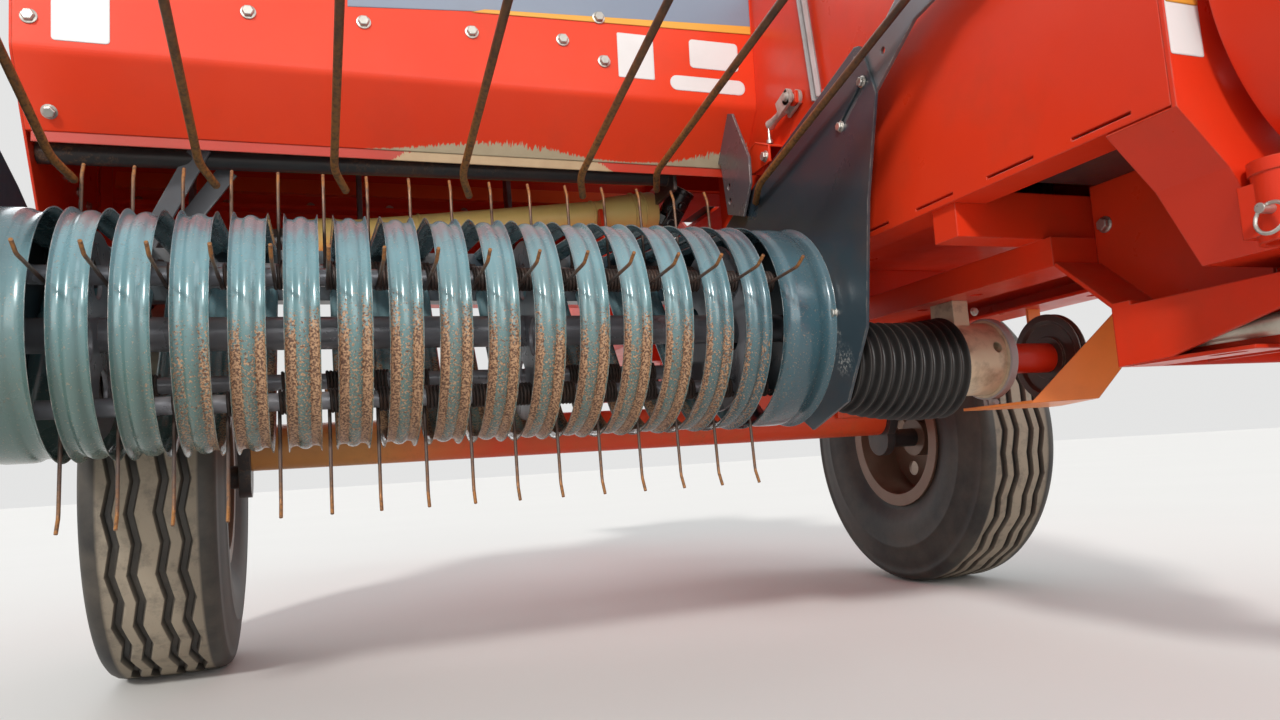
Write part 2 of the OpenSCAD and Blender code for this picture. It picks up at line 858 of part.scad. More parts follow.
pto_b = [plate_left_x - 122, -110, feed_floor_z + 122.8];
pto_a = [pto_b[0] - 720, -100, feed_floor_z + 42.2];
yoke_bore_r = 17.5;

module pto_shaft() {
  color("gold") {
    rod(pto_a, pto_b, 35);
  }
}

module pto_yokes() {
  d = (pto_b - pto_a) / norm(pto_b - pto_a);
  color("black")
    difference() {
      union() {
        rod(pto_b, pto_b + 90 * d, 27);
        rod(pto_b + 52 * d, pto_b + 90 * d, 32);
        rod(pto_a - 90 * d, pto_a, 27);
        rod(pto_a - 90 * d, pto_a - 52 * d, 32);
      }
      rod(pto_b + 10 * d, pto_b + 91 * d, yoke_bore_r);
      rod(pto_a - 91 * d, pto_a - 10 * d, yoke_bore_r);
    }
}

// Pickup

beam_y = -205;
beam_low_z = feed_floor_z - 94;
band_reach = [beam_y - reel_y, feed_floor_z - reel_z];
band_low = [beam_y - reel_y, beam_low_z + 10 - reel_z];

function tangent_turn(p, side) = atan2(p[1], p[0]) + side * acos(band_r / norm(p));
function tail_len(p) = sqrt(norm(p) * norm(p) - band_r * band_r);

// Section of a band: distance from the reel axis, and place across the band
module band_section(w) {
  steps = [[-0.5, 0], [-0.42, 0], [-0.3, 1], [-0.14, 1], [-0.06, 0.45], [0.06, 0.45], [0.14, 1], [0.3, 1], [0.42, 0], [0.5, 0]];
  outer = [for (s = steps) [band_r - s[1] * band_press, s[0] * w]];
  inner = [for (i = [len(steps) - 1:-1:0]) [outer[i][0] - band_t, outer[i][1]]];
  polygon(concat(outer, inner));
}

module band(x, w) {
  top = tangent_turn(band_reach, 1);
  low = tangent_turn(band_low, -1);
  sweep = low + 360 - top;
  translate([x, reel_y, reel_z])
    difference() {
      union() {
        rotate([0, 90, 0])
          rotate([0, 0, top + 90])
            rotate_extrude(angle = sweep, $fn = 96)
              band_section(w);
        rotate([top - 90, 0, 0])
          rotate([90, 0, 90])
            rotate([90, 0, 90])
              linear_extrude(height = tail_len(band_reach) + 20)
                band_section(w);
        rotate([low - 90, 0, 0])
          rotate([90, 0, 90])
            rotate([90, 0, 90])
              translate([0, 0, -tail_len(band_low) - 20])
                linear_extrude(height = tail_len(band_low) + 20)
                  band_section(w);
      }
      block(-w, w, band_reach[0], band_reach[0] + 60, -60, 260);
    }
}

module stripper_bands() {
  color("cadetblue") {
    for (i = [0:band_count - 1])
      band(band_x0 + i * band_pitch, band_w);
    band(plate_right_x + end_band_w / 2, end_band_w);
    band(plate_left_x - end_band_w / 2, end_band_w);
  }
}

module plate_outline() {
  polygon([
    [-585, 393], [-700, 432], [-770, 542], [-804, 735], [-849, 887], [-826, 963], [-818, 975], [-805, 979],
    [-793, 975],
    [-350, 842], [beam_y + 6, feed_floor_z], [beam_y + 6, beam_low_z], [-330, 540]
  ]);
}

module bearing(x) {
  bar_x(reel_shaft_r + 22, x, x + 16, reel_y, reel_z);
}

// The slot by which a guard arm is set on its plate
module arm_slot(x) {
  slab_x(x - 1, x + plate_t + 1)
    slot(arm_low, arm_high, 6.5);
}

module pickup_plate(x, face) {
  difference() {
    union() {
      slab_x(x, x + plate_t)
        plate_outline();
      bearing(face > 0 ? x + plate_t : x - 16);
    }
    bar_x(reel_shaft_r + run, x - 60, x + 60, reel_y, reel_z);
    arm_slot(x);
  }
}

module pickup_plate_right() {
  color("darkslategray")
    pickup_plate(plate_right_x - plate_t, -1);
}

module pickup_plate_left() {
  color("darkslategray")
    pickup_plate(plate_left_x, 1);
}

module pickup_rear_beam() {
  color("darkslategray")
    slab_x(plate_right_x, plate_left_x)
      polygon([
        [beam_y, beam_low_z], [beam_y + 40, beam_low_z], [beam_y + 40, beam_low_z + 6],
        [beam_y + 6, beam_low_z + 6], [beam_y + 6, feed_floor_z], [beam_y, feed_floor_z]
      ]);
}

arm_low = [-751, 872];
arm_high = [-823, 916];
arm_w = 60;

// A strap that runs up along its slot and then forward to the guard bar
module guard_arm(x0) {
  along = (arm_high - arm_low) / norm(arm_high - arm_low);
  across = [-along[1], along[0]] * arm_w / 2;
  knee = arm_high + 125 * along;
  difference() {
    slab_x(x0, x0 + 6)
      polygon([
        arm_low - 30 * along - across, knee - across, [guard_y + 16, guard_z + 34], [guard_y - 16, guard_z + 30],
        [guard_y - 28, guard_z + 8], [guard_y - 24, guard_z - 22], [guard_y, guard_z - 32], knee + across,
        arm_low - 30 * along + across
      ]);
    bar_x(guard_r + run, x0 - 1, x0 + 7, guard_y, guard_z);
    bar_x(6, x0 - 1, x0 + 7, arm_high[0] + 54 * along[0], arm_high[1] + 54 * along[1]);
  }
}

module guard_arms() {
  color("dimgray") {
    guard_arm(plate_left_x + plate_t);
    guard_arm(plate_right_x - plate_t - 6);
  }
}

module wind_guard() {
  knee = [reel_y + 13, reel_z + 291];
  tip = [reel_y + 63, reel_z + 241];
  color("saddlebrown") {
    bar_x(guard_r, plate_right_x - plate_t - 26, plate_left_x + plate_t + 26, guard_y, guard_z);
    for (x = concat([for (i = [0:guard_count - 1]) tine_x0 - 16 + i * guard_pitch], [plate_left_x - 22])) {
      rod([x, guard_y, guard_z - 6], [x, knee[0], knee[1]], guard_rod_r);
      rod([x, knee[0] - 2, knee[1] + 2], [x, tip[0], tip[1]], guard_rod_r);
    }
  }
}

// Reel

reel_disc_t = 6;

module reel_disc(x) {
  translate([x - reel_disc_t / 2, reel_y, reel_z])
    rotate([0, 90, 0])
      linear_extrude(height = reel_disc_t)
        difference() {
          circle(r = bar_circle_r + bar_r + 8, $fn = 64);
          for (k = [0:3])
            rotate([0, 0, 90 * k + bar_turn])
              translate([-bar_circle_r, 0])
                circle(r = bar_r + fit);
          for (k = [0:3])
            rotate([0, 0, 90 * k + 45 + bar_turn])
              translate([-80, 0])
                circle(r = 30);
        }
}

module reel_shaft() {
  color("slategray") {
    bar_x(reel_shaft_r, plate_right_x - plate_t - 30, plate_left_x + plate_t + 7, reel_y, reel_z);
    for (i = [0, 5, 9, 14])
      reel_disc(band_x0 + i * band_pitch * (band_count - 1) / 14);
  }
}

// A spring tine, a solid of its own that sits on its bar with a small clearance
module coil_tine(x) {
  turns = 4;
  pitch = tine_d;
  inner_r = bar_r + fit;
  coil_r = inner_r + tine_d / 2 + 0.4;
  translate([x, 0, 0]) {
    rotate([0, 90, 0])
      translate([0, 0, -turns * pitch / 2])
        rotate_extrude($fn = 32)
          polygon(concat(
            [[inner_r, 0]],
            [for (i = [0:turns - 1]) each [
              [coil_r, pitch * i], [coil_r + tine_d / 2, pitch * (i + 0.3)],
              [coil_r + tine_d / 2, pitch * (i + 0.7)]
            ]],
            [[coil_r, pitch * turns], [inner_r, pitch * turns]]
          ));
    rotate([tine_lag, 0, 0])
      translate([0, -coil_r, 0])
        cylinder(h = tine_len, r = tine_d / 2, $fn = 16);
  }
}

module tine_bar(k) {
  color("saddlebrown")
    translate([0, reel_y, reel_z])
      rotate([bar_turn + 90 * k, 0, 0])
        translate([0, 0, bar_circle_r]) {
          bar_x(bar_r, tine_x0 - 25, last_tine_x + 25, 0, 0);
          for (i = [0:band_count])
            coil_tine(tine_x0 + i * band_pitch);
        }
}

// Drive to the pickup

module drive_bellows() {
  x0 = plate_left_x + plate_t;
  x1 = hub_x;
  fold = (x1 - x0) / bellows_folds;
  color("black")
    turned_x(x0, drive_y, drive_z)
      polygon(concat(
        [[40, 0]],
        [for (i = [0:bellows_folds - 1]) each [
          [bellows_r - 14, fold * i], [bellows_r, fold * (i + 0.35)], [bellows_r, fold * (i + 0.65)]
        ]],
        [[bellows_r - 14, x1 - x0], [40, x1 - x0]]
      ));
}

module drive_hub() {
  color("beige")
    difference() {
      union() {
        bar_x(hub_r, hub_x, hub_x + hub_len, drive_y, drive_z);
        bar_x(hub_r + 5, hub_x + hub_len - 16, hub_x + hub_len, drive_y, drive_z);
        block(hub_x + 12, hub_x + 44, drive_y - 30, drive_y + 30, drive_z + 40, rail_z);
      }
      bar_y(9, drive_y - hub_r - 2, drive_y - hub_r + 30, hub_x + hub_len - 34, drive_z + 14);
    }
}

module drive_tube() {
  color("orangered")
    bar_x(tube_r, hub_x + hub_len, rail_left_x, drive_y, drive_z);
}

// A belt disc with a groove between two rims
module drive_disc() {
  color("dimgray")
    turned_x(rail_left_x, drive_y, drive_z)
      polygon([
        [0, 0], [tube_r + 12, 0], [tube_r + 12, 5], [disc_r - 18, 5], [disc_r - 12, 0], [disc_r, 0], [disc_r, 2],
        [disc_r - 9, disc_w / 2], [disc_r, disc_w - 2], [disc_r, disc_w], [disc_r - 12, disc_w],
        [disc_r - 18, disc_w - 5], [0, disc_w - 5]
      ]);
}

// Wheels

module tyre(x) {
  half = [[163, 0.354], [185, 0.381], [215, 0.46], [262, 0.5], [305, 0.496], [345, 0.46], [366, 0.416], [375, 0.31], [378, 0.13]];
  scale_r = tyre_r - 378;
  side = [for (p = half) [p[0] + (p[0] > 200 ? scale_r : 0), p[1] * tyre_w]];
  back = [for (i = [len(side) - 1:-1:0]) [side[i][0], -side[i][1]]];
  color("dimgray")
    turned_x(x, axle_y, tyre_r)
      difference() {
        polygon(concat(side, back));
        for (a = [-62, -22, 22, 62])
          translate([tyre_r - groove_d, a - groove_w / 2])
            square([groove_d + 10, groove_w]);
      }
}

module rim(x, face) {
  color("sienna")
    difference() {
      translate([x, 0, 0])
        mirror([face > 0 ? 0 : 1, 0, 0])
          turned_x(0, axle_y, tyre_r)
            polygon([
              [spindle_r + run, -30], [50, -30], [50, 10], [150, 10], [150, -94], [rim_r, -94],
              [rim_r, -87], [162.7, -84], [162.7, 84], [rim_r, 87], [rim_r, 94], [150, 94],
              [150, 18], [50, 18], [50, 46], [spindle_r + run, 46]
            ]);
      for (k = [0:4])
        translate([x, axle_y, tyre_r])
          rotate([72 * k, 0, 0])
            bar_x(20, -40, 40, 0, 105);
    }
}

module tyre_left() {
  tyre(wheel_left_x);
}

module tyre_right() {
  tyre(wheel_right_x);
}

module rim_left() {
  rim(wheel_left_x, 1);
}

module rim_right() {
  rim(wheel_right_x, -1);
}

// Flywheel

module flywheel() {
  color("red")
    bar_y(17.5, fly_y - 110, fly_y - 30, fly_x, fly_z);
  color("red")
    difference() {
      translate([fly_x, fly_y, fly_z])
        rotate([-90, 0, 0])
          rotate_extrude($fn = 96)
            polygon([
              [0, -30], [60, -30], [60, -12], [fly_r - 50, -12], [fly_r - 50, -35], [fly_r, -35],
              [fly_r, 35], [fly_r - 50, 35], [fly_r - 50, 0], [60, 0], [60, 30], [36 + run, 30],
              [36 + run, -12], [0, -12]
            ]);
      for (k = [0:5])
        translate([fly_x, fly_y, fly_z])
          rotate([0, 60 * k, 0])
            bar_y(22, -40, 40, 0, 125);
    }
}

// Drawbar and jack

module drawbar_beam() {
  color("orangered") {
    difference() {
      union() {
        block(pivot_x - drawbar_w / 2, pivot_x + drawbar_w / 2, hitch_y + 120, pivot_y, drawbar_z, drawbar_z + drawbar_h);
        bar_z(drawbar_w / 2, drawbar_z, drawbar_z + drawbar_h, pivot_x, pivot_y);
      }
      bar_z(25 + run, drawbar_z - 1, drawbar_z + drawbar_h + 1, pivot_x, pivot_y);
    }
  }
}

module hitch_clevis() {
  color("dimgray")
    difference() {
      union() {
        block(pivot_x - 40, pivot_x + 40, hitch_y, hitch_y + 120, drawbar_z, drawbar_z + drawbar_h);
        bar_z(40, drawbar_z, drawbar_z + drawbar_h, pivot_x, hitch_y);
      }
      block(pivot_x - 60, pivot_x + 60, hitch_y - 60, hitch_y + 60, drawbar_z + 30, drawbar_z + drawbar_h - 30);
      bar_z(hitch_r, drawbar_z - 1, drawbar_z + drawbar_h + 1, pivot_x, hitch_y);
    }
}

jack_wall = 6;
jack_x = pivot_x + drawbar_w / 2 + 16 + jack_r;

module jack_sleeve() {
  color("dimgray") {
    difference() {
      bar_z(jack_r, 330, 800, jack_x, jack_y);
      bar_z(jack_r - jack_wall, 329, 790, jack_x, jack_y);
    }
    difference() {
      block(pivot_x + drawbar_w / 2, jack_x, jack_y - 40, jack_y + 40, drawbar_z + 10, drawbar_z + drawbar_h - 10);
      bar_z(jack_r - 3, 300, 800, jack_x, jack_y);
    }
    bar_z(10, 800, 830, jack_x, jack_y);
    bar_x(10, jack_x - 10, jack_x + 130, jack_y, 836);
  }
}

module jack_leg() {
  color("silver") {
    bar_z(jack_r - jack_wall - fit, 12, 540, jack_x, jack_y);
    bar_z(75, 0, 12, jack_x, jack_y);
  }
}

// Lid, chute and measuring wheel

module twine_lid() {
  color("orangered")
    difference() {
      union() {
        block(box_x - 4, case_right_x - 6, box_y0 - 4, box_y1, box_top_z + fit, box_top_z + 8);
        for (x = [box_x + 60, case_right_x - 100]) {
          bar_x(8, x + 13, x + 36, lid_hinge_y, lid_hinge_z);
          block(x + 13, x + 36, box_y1 - 10, lid_hinge_y, box_top_z + fit, box_top_z + 8);
        }
      }
      for (x = [box_x + 60, case_right_x - 100])
        bar_x(4 + run, x - 1, x + 37, lid_hinge_y, lid_hinge_z);
    }
}

module bale_chute() {
  color("orangered") {
    difference() {
      union() {
        block(case_right_x - 12, case_left_x + 12, chute_y, chute_y + chute_len, 700, 706);
        for (x = [case_right_x + 60, case_left_x - 110]) {
          bar_x(14, x, x + 50, chute_y, chute_hinge_z);
        }
      }
      bar_x(8 + run, case_right_x - 20, case_left_x + 20, chute_y, chute_hinge_z);
      block(case_right_x + 40, case_right_x + 59, chute_y - 1, chute_y + 16, 680, 710);
      block(case_left_x - 59, case_left_x - 40, chute_y - 1, chute_y + 16, 680, 710);
    }
    for (x = [case_right_x - 12, case_left_x + 6])
      slab_x(x, x + 6)
        polygon([
          [chute_y + 16, 705], [chute_y + 16, 860], [chute_y + 50, 860],
          [chute_y + chute_len, 760], [chute_y + chute_len, 705]
        ]);
  }
}

star_y = 820;
star_z = case_roof_z + 110;
star_pin_r = 10;

module star_wheel() {
  color("silver")
    translate([case_mid_x - 4, star_y, star_z])
      rotate([90, 0, 90])
        linear_extrude(height = 8)
          difference() {
            union() {
              circle(r = 100);
              for (k = [0:11])
                rotate([0, 0, 30 * k])
                  polygon([[90, -14], [135, 0], [90, 14]]);
            }
            circle(r = star_pin_r + run);
          }
}

module placed() {
  translate([shift_x, shift_y, 0])
    children();
}

placed() axle_tube();
placed() axle_brackets();
placed() frame_rails();
placed() frame_front_box();
placed() pivot_pin();
placed() stand_socket();
placed() underside_tray();
placed() housing_right_panel();
placed() housing_left_panel();
placed() housing_front_panel();
placed() housing_top();
placed() gearbox();
placed() plunger();
placed() case_floor();
placed() case_roof();
placed() tension_rails();
placed() tension_screws();
placed() knotter_frame();
placed() knotters();
placed() needle_yoke();
placed() feed_floor();
placed() feed_rear_wall();
placed() feed_end_plate();
placed() feeder_hood();
placed() feeder_pipe();
placed() feeder_forks();
placed() hood_bracket();
placed() twine_box();
placed() pto_shaft();
placed() pto_yokes();
placed() pickup_plate_right();
placed() pickup_plate_left();
placed() stripper_bands();
placed() pickup_rear_beam();
placed() guard_arms();
placed() drive_bellows();
placed() drive_hub();
placed() drive_tube();
placed() drive_disc();
placed() brace_pipe();
placed() reel_shaft();
placed() tine_bar(0);  // tine_bar_1
placed() tine_bar(1);  // tine_bar_2
placed() tine_bar(2);  // tine_bar_3
placed() tine_bar(3);  // tine_bar_4
placed() wind_guard();
placed() tyre_left();
placed() rim_left();
placed() tyre_right();
placed() rim_right();
placed() flywheel();
placed() drawbar_beam();
placed() hitch_clevis();
placed() jack_sleeve();
placed() jack_leg();
placed() twine_lid();
placed() bale_chute();
placed() star_wheel();
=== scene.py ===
# Looks of a small rectangular baler with an offset pickup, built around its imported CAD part.
# Metres, +Z up, -Y towards the hitch, +X the machine's left hand.
import json
import math
import bmesh
import bpy
from mathutils import Matrix, Vector


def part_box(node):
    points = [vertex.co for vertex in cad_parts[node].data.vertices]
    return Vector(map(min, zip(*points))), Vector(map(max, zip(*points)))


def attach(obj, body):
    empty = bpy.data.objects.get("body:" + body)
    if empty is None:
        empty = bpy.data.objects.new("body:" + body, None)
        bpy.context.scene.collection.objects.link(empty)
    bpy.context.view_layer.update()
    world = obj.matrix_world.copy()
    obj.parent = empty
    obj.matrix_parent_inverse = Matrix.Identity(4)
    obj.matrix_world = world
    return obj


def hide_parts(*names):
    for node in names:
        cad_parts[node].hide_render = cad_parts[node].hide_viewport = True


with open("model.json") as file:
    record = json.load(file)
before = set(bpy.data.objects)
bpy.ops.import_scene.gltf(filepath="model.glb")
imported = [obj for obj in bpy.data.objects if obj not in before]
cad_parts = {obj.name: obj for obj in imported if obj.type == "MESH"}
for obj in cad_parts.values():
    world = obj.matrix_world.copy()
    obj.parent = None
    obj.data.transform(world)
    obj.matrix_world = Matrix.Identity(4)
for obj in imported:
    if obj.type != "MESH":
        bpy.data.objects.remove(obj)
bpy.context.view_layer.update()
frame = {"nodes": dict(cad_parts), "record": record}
print("frame loaded:", len(frame["nodes"]), "nodes")

# The CAD's drawing datum lies this far from the frame's origin, in millimetres
datum = {"x": -625.5, "y": 562.5}


def at(x, y, z):
    # A place given in drawing millimetres
    return Vector(((x + datum["x"]) / 1000, (y + datum["y"]) / 1000, z / 1000))


def atX(x):
    return at(x, 0, 0).x


def atY(y):
    return at(0, y, 0).y


def drawnX(x):
    # From metres in the frame back to drawing millimetres
    return 1000 * x - datum["x"]


# Mesh tools


def joinRings(bm, rings, closed=False, capped=False):
    # Faces between neighbouring rings of points; a ring of one point makes a fan
    pairs = list(zip(rings, rings[1:]))
    if closed:
        pairs.append((rings[-1], rings[0]))
    for a, b in pairs:
        count = max(len(a), len(b))
        for k in range(count if count > 1 else 0):
            n = (k + 1) % count
            corners = (a[k % len(a)], a[n % len(a)], b[n % len(b)], b[k % len(b)])
            bm.faces.new(list(dict.fromkeys(corners)))
    if capped:
        bm.faces.new(rings[0][::-1])
        bm.faces.new(rings[-1])
    return rings


def circle(side, other, count, turn=0.0):
    # Ways around a full turn, from side towards other
    angles = [turn + 2 * math.pi * k / count for k in range(count)]
    return [math.cos(a) * side + math.sin(a) * other for a in angles]


def squareWays(axis):
    # The axis and two ways square to it
    axis = Vector(axis).normalized()
    side = axis.orthogonal().normalized()
    return axis, side, axis.cross(side)


def addTube(bm, points, radius, sides=12, closed=False):
    # A round bar through points, its sections kept from twisting
    points = [Vector(p) for p in points]
    count = len(points)
    rings = []
    side = None
    for i, p in enumerate(points):
        before = points[i - 1] if (i > 0 or closed) else p
        after = points[(i + 1) % count] if (i < count - 1 or closed) else p
        along = (after - before).normalized()
        if side is None:
            side = along.orthogonal()
        side = (side - along * side.dot(along)).normalized()
        r = radius[i] if isinstance(radius, list) else radius
        rings.append([bm.verts.new(p + r * way) for way in circle(side, along.cross(side), sides)])
    return joinRings(bm, rings, closed, not closed)


def addLathe(bm, centre, axis, profile, segments=48, closed=False):
    # A turned form: profile is a list of (distance along the axis, radius)
    axis, side, other = squareWays(axis)
    centre = Vector(centre)
    ways = circle(side, other, segments)
    rings = [[bm.verts.new(centre + axis * along + way * radius) for way in (ways if radius else ways[:1])]
             for along, radius in profile]
    joinRings(bm, rings, closed)


def addSlab(bm, outline, depth):
    # An outline of points in one plane, made solid by a depth vector
    shifts = (Vector((0, 0, 0)), Vector(depth))
    joinRings(bm, [[bm.verts.new(Vector(p) + shift) for p in outline] for shift in shifts], capped=True)


def addBlock(bm, low, high):
    x0, y0, z0 = low
    x1, y1, z1 = high
    addSlab(bm, [(x0, y0, z0), (x1, y0, z0), (x1, y1, z0), (x0, y1, z0)], (0, 0, z1 - z0))


def addStrap(bm, points, width, thickness, face):
    # A flat bar along points; face is the way its broad side looks
    points = [Vector(p) for p in points]
    face = Vector(face).normalized()
    rings = []
    for i, p in enumerate(points):
        along = (points[min(i + 1, len(points) - 1)] - points[max(i - 1, 0)]).normalized()
        across = along.cross(face).normalized()
        out = across.cross(along).normalized()
        rings.append([bm.verts.new(p + across * a * width / 2 + out * b * thickness / 2)
                      for a, b in ((-1, -1), (1, -1), (1, 1), (-1, 1))])
    joinRings(bm, rings, capped=True)


hexBolt = {"across": 0.017, "height": 0.0075, "washer": 0.0125, "washerHeight": 0.0016, "turn": 0.3}


def addBolt(bm, place, normal, size=1.0, washer=True):
    # A hexagon head on its washer, with a chamfered top
    n, side, other = squareWays(normal)
    base = 0.0
    if washer:
        r = hexBolt["washer"] * size
        base = hexBolt["washerHeight"] * size
        addLathe(bm, place, n, [(-0.0005, 0), (-0.0005, r), (base * 0.7, r), (base, r * 0.94), (base, 0)], 20)
    r = hexBolt["across"] * size / math.sqrt(3)
    h = hexBolt["height"] * size
    ways = circle(side, other, 6, hexBolt["turn"])
    joinRings(bm, [[bm.verts.new(Vector(place) + n * along + way * radius) for way in ways]
                   for along, radius in ((base, r), (base + h * 0.8, r), (base + h, r * 0.84))], capped=True)


def finishPiece(bm, name, slotName, finish=None, body="root", replaced=(), sharp=35, bevel=0.0):
    bmesh.ops.recalc_face_normals(bm, faces=bm.faces)
    mesh = bpy.data.meshes.new(name)
    bm.to_mesh(mesh)
    bm.free()
    for p in mesh.polygons:
        p.use_smooth = True
    mesh.set_sharp_from_angle(angle=math.radians(sharp))
    mesh.materials.append(materials[finish or slotName])
    piece = bpy.data.objects.new(name, mesh)
    bpy.context.scene.collection.objects.link(piece)
    if bevel:
        rounding = piece.modifiers.new("rounding", "BEVEL")
        rounding.width = bevel
        rounding.segments = 2
        rounding.limit_method = "ANGLE"
    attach(piece, body)
    if replaced:
        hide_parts(*replaced)


# Material tools: a socket knows its own tree, so values are combined without naming it


def addNode(tree, kind, inputs=None, **settings):
    # inputs gives each socket its link or its fixed value
    node = tree.nodes.new(kind)
    for key, value in settings.items():
        setattr(node, key, value)
    for key, value in (inputs or {}).items():
        socket = node.inputs[key]
        if isinstance(value, bpy.types.NodeSocket):
            tree.links.new(value, socket)
        elif socket.type == "RGBA":
            socket.default_value = (*value, 1.0)
        else:
            socket.default_value = value
    return node


def objectPlace(tree):
    return addNode(tree, "ShaderNodeTexCoord").outputs["Object"]


def noise(tree, scale, detail=4.0, roughness=0.55, stretch=None, offset=0.0):
    place = objectPlace(tree)
    if stretch or offset:
        shift = (offset, offset * 0.7, offset * 0.3)
        place = addNode(tree, "ShaderNodeMapping", {"Vector": place, "Scale": stretch or (1, 1, 1),
                                                    "Location": shift}).outputs[0]
    return addNode(tree, "ShaderNodeTexNoise", {"Scale": scale, "Detail": detail, "Roughness": roughness,
                                                "Vector": place}).outputs["Fac"]


def spread(value, low, high, outLow=0.0, outHigh=1.0):
    # Maps low to outLow and high to outHigh, and holds both beyond them
    return addNode(value.id_data, "ShaderNodeMapRange", {
        "Value": value, "From Min": low, "From Max": high, "To Min": outLow, "To Max": outHigh}).outputs[0]


def combine(operation, a, b, clamp=False):
    tree = (a if isinstance(a, bpy.types.NodeSocket) else b).id_data
    return addNode(tree, "ShaderNodeMath", {0: a, 1: b}, operation=operation, use_clamp=clamp).outputs[0]


def times(a, b):
    return combine("MULTIPLY", a, b)


def plus(a, b):
    return combine("ADD", a, b)


def blend(amount, a, b):
    # Colour a where amount is 0, colour b where it is 1
    return addNode(amount.id_data, "ShaderNodeMix", {0: amount, 6: a, 7: b}, data_type="RGBA").outputs[2]


def axisOf(vector, axis):
    return addNode(vector.id_data, "ShaderNodeSeparateXYZ", {0: vector}).outputs["XYZ".index(axis)]


def placeOn(tree, axis):
    # Where a point lies along one of the object's axes
    return axisOf(objectPlace(tree), axis)


def attributeOf(tree, name):
    return addNode(tree, "ShaderNodeAttribute", attribute_name=name).outputs["Fac"]


def surfaceNormal(tree):
    return addNode(tree, "ShaderNodeNewGeometry").outputs["Normal"]


def edgeMask(tree, radius, high):
    # Where the surface turns sharply: the rounded normal departs from the true one
    rounded = addNode(tree, "ShaderNodeBevel", {"Radius": radius}, samples=4).outputs[0]
    dot = addNode(tree, "ShaderNodeVectorMath", {0: rounded, 1: surfaceNormal(tree)}, operation="DOT_PRODUCT")
    return spread(combine("SUBTRACT", 1.0, dot.outputs["Value"]), 0.02, high), rounded


def bandRustMask(tree, where):
    # On the outer ribs of each band, low on its front, with a dotted limit
    uneven = plus(placeOn(tree, "Z"), spread(noise(tree, 6.0, 5), 0.3, 0.7, -0.03, 0.03))
    mask = times(combine("MAXIMUM", attributeOf(tree, "rib"), 0.32), spread(uneven, *where["heights"]))
    for reach in (where["left"], where["right"]):
        mask = times(mask, spread(placeOn(tree, "X"), *reach))
    dots = spread(noise(tree, 300.0, 3, 0.6), 0.35, 0.65, -0.4, 0.4)
    return spread(plus(mask, dots), 0.30, 0.55)


def wornStripMask(tree, strip):
    # Paint rubbed away above an edge; how high it goes follows a curve along X, with a frayed limit
    along = spread(placeOn(tree, "X"), strip["from"], strip["to"])
    curve = addNode(tree, "ShaderNodeFloatCurve", {"Value": along})
    points = curve.mapping.curves[0].points
    last = len(strip["heights"]) - 1
    points[0].location = (0.0, strip["heights"][0])
    points[1].location = (1.0, strip["heights"][-1])
    for i in range(1, last):
        points.new(i / last, strip["heights"][i])
    curve.mapping.update()
    frayed = spread(noise(tree, 330.0, 2, stretch=(1.0, 0.06, 0.10)), 0.3, 0.7, -0.30, 0.30)
    top = times(times(curve.outputs[0], strip["tallest"]), plus(frayed, 1.0))
    above = combine("SUBTRACT", placeOn(tree, "Z"), strip["edge"])
    mask = spread(combine("SUBTRACT", top, above), 0.0, strip["soft"])
    mask = times(mask, spread(along, 0.0, 0.03))
    return times(mask, spread(placeOn(tree, "Y"), strip["behind"] + strip["soft"], strip["behind"]))


def scuffMask(tree, centre, reach):
    away = addNode(tree, "ShaderNodeVectorMath", {0: objectPlace(tree), 1: centre}, operation="DISTANCE")
    near = spread(away.outputs["Value"], reach, reach * 0.2)
    return times(near, spread(noise(tree, 190.0, 6, 0.7), 0.50, 0.58))


def makeMaterial(name, look, surface):
    # surface gives colour, roughness, the bump's height and its strength, and the normal under it
    material = bpy.data.materials.new(name)
    material.use_nodes = True
    tree = material.node_tree
    tree.nodes.clear()
    colour, roughness, height, strength, normal = surface(tree, look)
    bump = {"Strength": strength, "Distance": 0.001, "Height": height}
    if normal:
        bump["Normal"] = normal
    shader = addNode(tree, "ShaderNodeBsdfPrincipled", {
        "Base Color": colour, "Roughness": roughness,
        "Normal": addNode(tree, "ShaderNodeBump", bump).outputs[0]})
    for socket, key in (("Metallic", "metal"), ("Specular IOR Level", "shine"), ("Coat Weight", "coat")):
        if key in look:
            shader.inputs[socket].default_value = look[key]
    if "coat" in look:
        shader.inputs["Coat Roughness"].default_value = 0.12
    addNode(tree, "ShaderNodeOutputMaterial", {0: shader.outputs[0]})
    return material


# What a paint has where its own look says nothing else
usualPaint = {"grimeScale": 5.0, "grime": 0.35, "grimeColour": (0.16, 0.07, 0.035), "dust": 0.5,
              "dustColour": (0.42, 0.33, 0.23), "round": 0.003, "wear": 0.5, "wearColour": (0.30, 0.20, 0.14),
              "bump": 0.06, "metal": 0.0, "shine": 0.36, "coat": 0.15}
usualMetal = {"rustColour": (0.23, 0.09, 0.035), "round": 0.0015, "wear": 0.3, "wearColour": (0.5, 0.48, 0.45),
              "tipColour": (0.40, 0.17, 0.045), "bump": 0.15}


